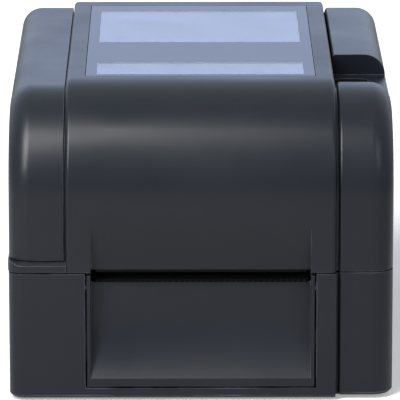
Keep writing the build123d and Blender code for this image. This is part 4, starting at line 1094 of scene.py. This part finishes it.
@dataclass
class RearSockets(Assembly):
    """What shows inside the sockets at the rear: pin, tongues, contacts and link lamps.

    A socket's middle is given along X and up, and what is in it is measured from there.
    """

    floor_y: float = 123.4
    inlet: Pair = (-42.0, 15.1)
    square: Pair = (-18.2, 13.5)
    flat: Pair = (1.96, 11.6)
    network: Pair = (24.08, 14.8)
    collar_radius: float = 2.0
    collar_length: float = 1.4
    pin_inset: float = 0.95
    pin_length: float = 9.8
    pin_tip: float = 0.45
    tongue_round: float = 0.35
    # A tongue's name, its socket's middle, half its width, its lower and upper side, and its end
    tongues: tuple[tuple[str, Pair, float, Pair, float], ...] = (
        ("square_tongue", square, 2.8, (-1.6, 1.6), 133.5),
        ("flat_tongue", flat, 5.5, (0.3, 2.2), 134.0),
        ("network_block", network, 5.8, (-4.1, 4.1), 127.0))
    # The middle of a socket, and how far aside and up its contacts are
    contact_rows: tuple[tuple[Pair, tuple[float, ...], tuple[float, ...]], ...] = (
        (square, (-1.25, 1.25), (-1.6, 1.6)), (flat, (-3.5, -1.0, 1.0, 3.5), (0.3,)))
    edge: float = 0.05
    contact_half: Pair = (0.5, 0.09)
    contact_length: float = 8.2
    contact_gap: float = 1.0
    contact_edge: float = 0.02
    contact_taper: float = 0.6
    spring_half: Pair = (0.17, 0.1)
    spring_length: float = 4.0
    spring_tail: float = 4.6
    spring_y: float = 127.2
    spring_drop: float = 4.0
    spring_pitch: float = 1.02
    spring_count: int = 8
    spring_rise: float = 1.6
    lamp_aside: float = 5.2
    lamp_half: float = 1.3
    lamp_round: float = 0.12
    lamp_edge: float = 0.03
    lamp_y: Pair = (136.9, 137.55)
    lamp_z: Pair = (4.7, 6.1)

    def parts(self) -> list[Part]:
        """Makes every inner part of the sockets.

        Returns:
            The inner parts.
        """
        made = [(self.pin(), "steel")]
        made += [(self.tongue(*tongue), "socket_plastic") for tongue in self.tongues]
        made +=[(self.contacts(), "gold_contact"), (self.springs(), "gold_contact")]
        x, z = self.network
        for side, finish, aside in (("left", "amber_lamp", x - self.lamp_aside),
                                    ("right", "green_lamp", x + self.lamp_aside)):
            lamp = box(f"{side}_link_lamp",
                       (aside - self.lamp_half, self.lamp_y[0], z + self.lamp_z[0]),
                       (aside + self.lamp_half, self.lamp_y[1], z + self.lamp_z[1]))
            ease(lamp, Axis.Y, self.lamp_round, 2)
            made.append((soften(lamp, self.lamp_edge), finish))
        return [(piece, finish, Body.BASE) for piece, finish in made]

    def pin(self) -> Piece:
        """Makes the inlet's centre pin with its round tip and its collar.

        Returns:
            The pin.
        """
        x, z = self.inlet
        pin = rod("inlet_pin", (x, self.floor_y, z), Axis.Y, self.collar_length,
                  self.collar_radius, sides=24)
        shape(pin, facing(Axis.Y), lambda: (inset(self.pin_inset), pull(Axis.Y, self.pin_length),
                                            round_off(self.pin_tip)))
        return soften(pin, self.edge)

    def tongue(self, name: str, centre: Pair, half: float, heights: Pair, front: float) -> Piece:
        """Makes a plastic tongue that stands out of a socket's back wall.

        Args:
            name: The tongue's name.
            centre: The socket's middle.
            half: Half of its width.
            heights: Its lower and upper side.
            front: Where it ends, along Y.

        Returns:
            The tongue.
        """
        x, z = centre
        piece = box(name, (x - half, self.floor_y, z + heights[0]),
                    (x + half, front, z + heights[1]))
        ease(piece, Axis.Y, self.tongue_round, 2)
        return soften(piece, self.edge)

    def contacts(self) -> Piece:
        """Makes the flat contacts on the tongues of the square and the flat socket.

        Returns:
            The contacts as one piece.
        """
        wide, thick = self.contact_half
        strip = box("strip", (-wide, 0.0, -thick), (wide, self.contact_length, thick))
        shape(strip, facing(Axis.Y), lambda: resize(self.contact_taper, 1.0, self.contact_taper))
        places = [(x + aside, self.floor_y + self.contact_gap, z + up)
                  for (x, z), asides, ups in self.contact_rows for aside in asides for up in ups]
        return row_of(soften(strip, self.contact_edge), "socket_contacts", places)

    def springs(self) -> Piece:
        """Makes the network socket's spring contacts, which rise towards its back.

        Returns:
            The contacts as one piece.
        """
        x, z = self.network
        wide, thick = self.spring_half
        wire = box("wire", (-wide, 0.0, -thick), (wide, self.spring_length, thick))
        shape(wire, facing(Axis.Y, -1.0), lambda: shift(Axis.Z, self.spring_rise))
        shape(wire, facing(Axis.Y), lambda: pull(Axis.Y, self.spring_tail))
        middle = (self.spring_count - 1) / 2
        places = [(x + self.spring_pitch * (n - middle), self.spring_y, z - self.spring_drop)
                  for n in range(self.spring_count)]
        return row_of(soften(wire, self.contact_edge), "network_contacts", places)


@dataclass
class SwitchMarks(Assembly):
    """The I and O on the power switch's rocker, on its leaning face."""

    centre: Triple = (43.96, 137.9, 22.0)
    lean: float = 8.0
    reach: float = 3.6
    sunk: float = 0.2
    proud: float = 0.04
    bar_half: float = 0.28
    bar_reach: float = 1.3
    ring_radius: float = 1.35
    hole_radius: float = 0.85
    edge: float = 0.01

    def parts(self) -> list[Part]:
        """Makes the two marks.

        Returns:
            The two marks.
        """
        bar = box("bar", (-self.bar_half, -self.sunk, self.reach - self.bar_reach),
                  (self.bar_half, self.proud, self.reach + self.bar_reach))
        ease(bar, Axis.Y, 2 * self.edge, 1)
        ring = rod("ring", (0.0, -self.sunk, -self.reach), Axis.Y, self.sunk + self.proud,
                   self.ring_radius)
        cut(ring, rod("hole", (0.0, -1.0, -self.reach), Axis.Y, 2.0, self.hole_radius))
        turn = turned(-self.lean, Axis.X)
        return [(row_of(soften(mark, self.edge), name, [self.centre], turn), "switch_print",
                 Body.ROCKER) for mark, name in ((bar, "on_mark"), (ring, "off_mark"))]


@dataclass
class LatchGrips(Assembly):
    """Ribs on the two latch tabs, where a thumb presses."""

    face: float = 101.4
    middle_y: float = -52.0
    low: float = 80.6
    pitch: float = 2.2
    count: int = 5
    sunk: float = 0.4
    proud: float = 0.35
    half_long: float = 8.0
    half_high: float = 0.45
    rounding: float = 0.25
    edge: float = 0.08
    edge_angle: float = 60.0

    def parts(self) -> list[Part]:
        """Makes both sets of ribs.

        Returns:
            The two sets.
        """
        made = []
        for name, side, degrees, body in (("right", 1, 0.0, Body.LATCH_RIGHT),
                                          ("left", -1, 180.0, Body.LATCH_LEFT)):
            rib = box("rib", (-self.sunk, -self.half_long, -self.half_high),
                      (self.proud, self.half_long, self.half_high))
            ease(rib, Axis.X, self.rounding)
            soften(rib, self.edge, angle=self.edge_angle)
            places = [(side * self.face, self.middle_y, self.low + n * self.pitch)
                      for n in range(self.count)]
            grip = row_of(rib, f"{name}_latch_grip", places, turned(degrees, Axis.Z))
            made.append((grip, "latch_plastic", body))
        return made


@dataclass
class MotorTrim(Assembly):
    """Crimp rings, end cap and tags of the ribbon motor."""

    axis_y: float = -107.01
    axis_z: float = 100.27
    end_x: float = -89.9
    crimp_radius: float = 11.28
    crimp_width: float = 0.9
    crimp_edge: float = 0.22
    crimps: Pair = (2.2, 17.0)
    cap_radius: float = 8.4
    cap_sunk: float = 0.2
    cap_depth: float = 0.8
    cap_insets: Pair = (2.4, 1.6)
    cap_pulls: Pair = (-0.6, 0.5)
    cap_edge: float = 0.12
    tag_low: Triple = (-2.2, -0.9, -0.2)
    tag_high: Triple = (0.4, 0.9, 0.2)
    tag_out: float = 0.6
    tag_aside: float = 5.4
    tag_taper: float = 0.6
    tag_edge: float = 0.05

    def parts(self) -> list[Part]:
        """Makes the trim.

        Returns:
            The trim.
        """
        y, z = self.axis_y, self.axis_z
        rings = [soften(rod("crimp", (self.end_x + along, y, z), Axis.X, self.crimp_width,
                            self.crimp_radius, sides=64), self.crimp_edge, segments=2)
                 for along in self.crimps]
        cap = rod("ribbon_motor_cap", (self.end_x + self.cap_sunk, y, z), Axis.X, -self.cap_depth,
                  self.cap_radius, sides=48)
        steps = list(zip(self.cap_insets, self.cap_pulls))
        shape(cap, facing(Axis.X, -1.0),
              lambda: [(inset(inward), pull(Axis.X, along)) for inward, along in steps])
        tag = box("tag", self.tag_low, self.tag_high)
        shape(tag, facing(Axis.X, -1.0), lambda: resize(1.0, self.tag_taper, 1.0))
        places = [(self.end_x - self.tag_out, y + side * self.tag_aside, z) for side in (-1, 1)]
        tags = row_of(soften(tag, self.tag_edge), "ribbon_motor_tags", places)
        return [(joined("ribbon_motor_crimps", rings), "motor_metal", Body.MECHANISM),
                (soften(cap, self.cap_edge, segments=2), "socket_plastic", Body.MECHANISM),
                (tags, "steel", Body.MECHANISM)]


@dataclass(frozen=True)
class Chip:
    """A square chip: its place along X, half its side, its height, and its leads on each side."""

    name: str
    x: float
    half: float
    tall: float
    leads: int


@dataclass
class BoardParts(Assembly):
    """Chips with their leads, and the capacitors' cans, on the main board."""

    top: float = 8.1
    row_y: float = 103.0
    chips: tuple[Chip, ...] = (Chip("processor", -4.0, 10.06, 2.45, 14),
                               Chip("driver", 24.0, 6.06, 1.65, 8))
    can_xs: Triple = (-44.0, -36.0, -28.0)
    lead_pitch: float = 1.25
    lead_low: Triple = (-0.2, 0.0, 0.55)
    lead_high: Triple = (0.2, 0.55, 0.75)
    lead_sunk: float = 0.16
    lead_run: float = 0.3
    lead_drop: float = 0.5
    lead_foot: float = 0.6
    can_foot: float = 0.9
    can_step: float = 0.3
    can_upper: float = 3.06
    chip_round: float = 0.3
    chip_edge: float = 0.05
    mark_inset: float = 2.0
    mark_radius: float = 0.7
    mark_deep: float = 0.15
    can_radius: float = 3.26
    can_round: float = 0.35
    can_edge: float = 0.04
    neck: float = 0.99
    vent_halves: Pair = (1.6, 0.12)
    vent_z: Pair = (4.45, 5.5)

    def parts(self) -> list[Part]:
        """Makes the chips, their leads and the cans.

        Returns:
            The parts.
        """
        made = [(self.body(chip), "chip_epoxy") for chip in self.chips]
        made += [(self.leads(chip), "steel") for chip in self.chips]
        made.append((self.cans(), "aluminium"))
        return [(piece, finish, Body.BASE) for piece, finish in made]

    def body(self, chip: Chip) -> Piece:
        """Makes a chip's body with a round mark in one corner.

        Args:
            chip: The chip.

        Returns:
            The body.
        """
        x, y, top = chip.x - chip.half, self.row_y - chip.half, self.top + chip.tall
        body = box(f"{chip.name}_body", (x, y, self.top),
                   (chip.x + chip.half, self.row_y + chip.half, top))
        ease(body, Axis.Z, self.chip_round, 2)
        mark = (x + self.mark_inset, y + self.mark_inset, top - self.mark_deep)
        cut(body, rod("mark", mark, Axis.Z, 1.0, self.mark_radius, sides=20))
        return soften(body, self.chip_edge)

    def leads(self, chip: Chip) -> Piece:
        """Makes the bent leads on a chip's four sides.

        Args:
            chip: The chip.

        Returns:
            The leads as one piece.
        """
        lead = box("lead", self.lead_low, self.lead_high)
        shape(lead, facing(Axis.Y), lambda: (
            pull(Axis.Y, self.lead_run), shift(Axis.Z, -self.lead_drop),
            pull(Axis.Y, self.lead_foot)))
        centre = Vector((chip.x, self.row_y, self.top))
        sides = []
        for quarter in range(4):
            turn = turned(90.0 * quarter, Axis.Z)
            for n in range(chip.leads):
                along = (n - (chip.leads - 1) / 2) * self.lead_pitch
                place = turn @ Vector((along, chip.half - self.lead_sunk, 0.0)) + centre
                sides.append(copied(lead, f"lead_{quarter}_{n}", place, turn))
        bpy.data.objects.remove(lead, do_unlink=True)
        return joined(f"{chip.name}_leads", sides)

    def cans(self) -> Piece:
        """Makes the capacitors' cans, each with its pressed neck and vent.

        Returns:
            The cans as one piece.
        """
        can = rod("can", (0.0, 0.0, 0.0), Axis.Z, self.can_foot, self.can_radius)

        def draw() -> None:
            """Draws the neck and the upper part out of the can's foot."""
            for wide in (self.neck, 2.0 - self.neck):
                pull(Axis.Z, self.can_step)
                resize(wide, wide, 1.0)
            pull(Axis.Z, self.can_upper)
            round_off(self.can_round)

        shape(can, facing(Axis.Z), draw)
        cross_cut(can, self.vent_halves, *self.vent_z)
        return row_of(soften(can, self.can_edge), "capacitor_cans",
                      [(x, self.row_y, self.top) for x in self.can_xs])


@dataclass
class SensorLenses(Assembly):
    """The sensors' small lenses."""

    strip_low: Triple = (-3.7, -73.2, 60.6)
    strip_high: Triple = (3.7, -70.8, 61.45)
    strip_round: float = 0.5
    strip_edge: float = 0.05
    dome_radius: float = 1.6
    dome_sunk: float = 0.4
    dome_height: float = 0.6
    dome_round: float = 0.18
    dome_edge: float = 0.03
    dome_places: tuple[Triple, ...] = ((32.0, -88.0, 61.75), (40.0, -88.0, 61.75))

    def parts(self) -> list[Part]:
        """Makes the lens of the sliding sensor and the two of the fixed one.

        Returns:
            The long lens and the pair of round ones.
        """
        moving = box("mark_sensor_lens", self.strip_low, self.strip_high)
        ease(moving, Axis.Z, self.strip_round, 4)
        dome = rod("dome", (0.0, 0.0, -self.dome_sunk), Axis.Z, self.dome_height,
                   self.dome_radius, sides=28)
        ease(dome, Axis.Z, self.dome_round)
        pair = row_of(soften(dome, self.dome_edge), "gap_sensor_lenses", self.dome_places)
        return [(soften(moving, self.strip_edge), "sensor_lens", Body.SENSOR),
                (pair, "sensor_lens", Body.BASE)]


# Studio


@dataclass(frozen=True)
class Lamp:
    """A soft area lamp that points at a place, in metres."""

    name: str
    place: Triple
    target: Triple
    size: Pair
    power: float
    colour: Triple = WHITE

    def build(self) -> None:
        """Adds the lamp."""
        light = bpy.data.lights.new(self.name, "AREA")
        light.shape = "RECTANGLE"
        light.size, light.size_y = self.size
        light.energy = self.power
        light.color = self.colour
        lamp = bpy.data.objects.new(self.name, light)
        lamp.location = self.place
        aim = Vector(self.target) - Vector(self.place)
        lamp.rotation_euler = aim.to_track_quat("-Z", "Y").to_euler()
        lamp.visible_camera = False
        bpy.context.scene.collection.objects.link(lamp)


@dataclass
class Studio:
    """Pale floor, white surroundings, soft lamps and the camera. Its lengths are in metres."""

    fill: float = 0.22
    floor_size: float = 12.0
    floor_tones: tuple[Triple, Triple] = ((0.80, 0.80, 0.80), (0.83, 0.83, 0.83))
    floor_glow: Pair = (0.35, 0.85)
    glow_reach: Pair = (0.20, 0.60)
    mirror_glow: float = 0.05
    cool: Triple = (0.80, 0.90, 1.0)
    focal_length: float = 422.4
    camera_place: Triple = (-0.0109, -2.537, 0.687)
    camera_down: float = 13.54
    camera_aside: float = 0.25
    lamps: tuple[Lamp, ...] = (
        Lamp("key", (-0.66, -1.06, 0.98), (0.0, -0.10, 0.10), (0.26, 0.8), 17.0),
        Lamp("over_front", (-0.38, -0.66, 1.15), (0.0, -0.12, 0.12), (0.60, 0.58), 15.0),
        Lamp("right_fill", (0.8, -1.0, 1.0), (0.0, -0.1, 0.08), (0.3, 0.7), 2.8),
        Lamp("rear_sky", (0.0, 2.4, 0.95), (0.0, 0.0, 0.15), (2.2, 0.9), 4.2, (0.27, 0.40, 1.0)),
    )

    def build(self) -> None:
        """Sets up the floor, the world, the lamps and the camera."""
        bpy.context.scene.view_settings.view_transform = "Standard"
        self.floor()
        self.world()
        for lamp in self.lamps:
            lamp.build()
        self.camera()

    def floor(self) -> None:
        """Adds the floor, white to the camera where it has no shadow."""
        bpy.ops.mesh.primitive_plane_add(size=self.floor_size, location=(0.0, 0.0, 0.0))
        floor = named(bpy.context.active_object, "floor")
        material, tree = new_material("pale_floor")
        place = tree.place()
        colour = tree.blend(tree.noise(place, 3.0, 3.0), *self.floor_tones)
        away = tree.node("ShaderNodeVectorMath", {0: place}, operation="LENGTH").outputs["Value"]
        camera_ray, seen = self.rays(tree)
        glow = tree.times(camera_ray, tree.spread(away, *self.glow_reach, *self.floor_glow))
        mirrored = tree.times(tree.math("SUBTRACT", seen, camera_ray), self.mirror_glow)
        tree.surface({
            "Base Color": colour, "Roughness": 0.85, "Specular IOR Level": 0.1,
            "Emission Color": (*WHITE, 1.0), "Emission Strength": tree.math("ADD", glow, mirrored)})
        floor.data.materials.append(material)

    def rays(self, tree: Tree) -> tuple[Socket, Socket]:
        """Adds two masks of the light's paths.

        Args:
            tree: The tree that they're added to.

        Returns:
            A mask that is 1 to the camera, and one that is 1 in reflections and glass too.
        """
        path = tree.node("ShaderNodeLightPath").outputs
        seen = tree.math("MAXIMUM", path["Is Camera Ray"], path["Is Glossy Ray"])
        return path["Is Camera Ray"], tree.math("MAXIMUM", seen, path["Is Transmission Ray"])

    def world(self) -> None:
        """Makes the surroundings white to look at and to reflect, and plain to light with."""
        world = bpy.data.worlds.new("studio")
        bpy.context.scene.world = world
        world.use_nodes = True
        tree = Tree(world.node_tree)
        camera_ray, seen = self.rays(tree)
        sky = tree.node("ShaderNodeBackground", {
            "Color": tree.blend(camera_ray, self.cool, WHITE),
            "Strength": tree.spread(seen, 0.0, 1.0, self.fill, 1.0)})
        tree.node("ShaderNodeOutputWorld", {"Surface": sky.outputs[0]})

    def camera(self) -> None:
        """Adds the camera at the photograph's viewpoint."""
        lens = bpy.data.cameras.new("camera")
        lens.lens = self.focal_length
        camera = bpy.data.objects.new("camera", lens)
        camera.location = self.camera_place
        camera.rotation_euler = (math.radians(90.0 - self.camera_down), 0.0,
                                 -math.radians(self.camera_aside))
        bpy.context.scene.collection.objects.link(camera)
        bpy.context.scene.camera = camera


def main() -> None:
    """Builds every sub-assembly in order and reports each piece."""
    logging.basicConfig(level=logging.INFO, format="%(name)s: %(message)s")
    book = FinishBook()
    made: list[Piece] = []
    for assembly in (Mouldings, CoverWindow, Screws, RearSockets, SwitchMarks, LatchGrips,
                     MotorTrim, BoardParts, SensorLenses):
        pieces = assembly(book).build()
        made += pieces
        for piece in pieces:
            log.info("%s: %d faces", piece.name, len(piece.data.polygons))
    book.dress_nodes()
    Studio().build()
    log.info("made %d pieces", len(made))


if __name__ == "__main__":
    main()
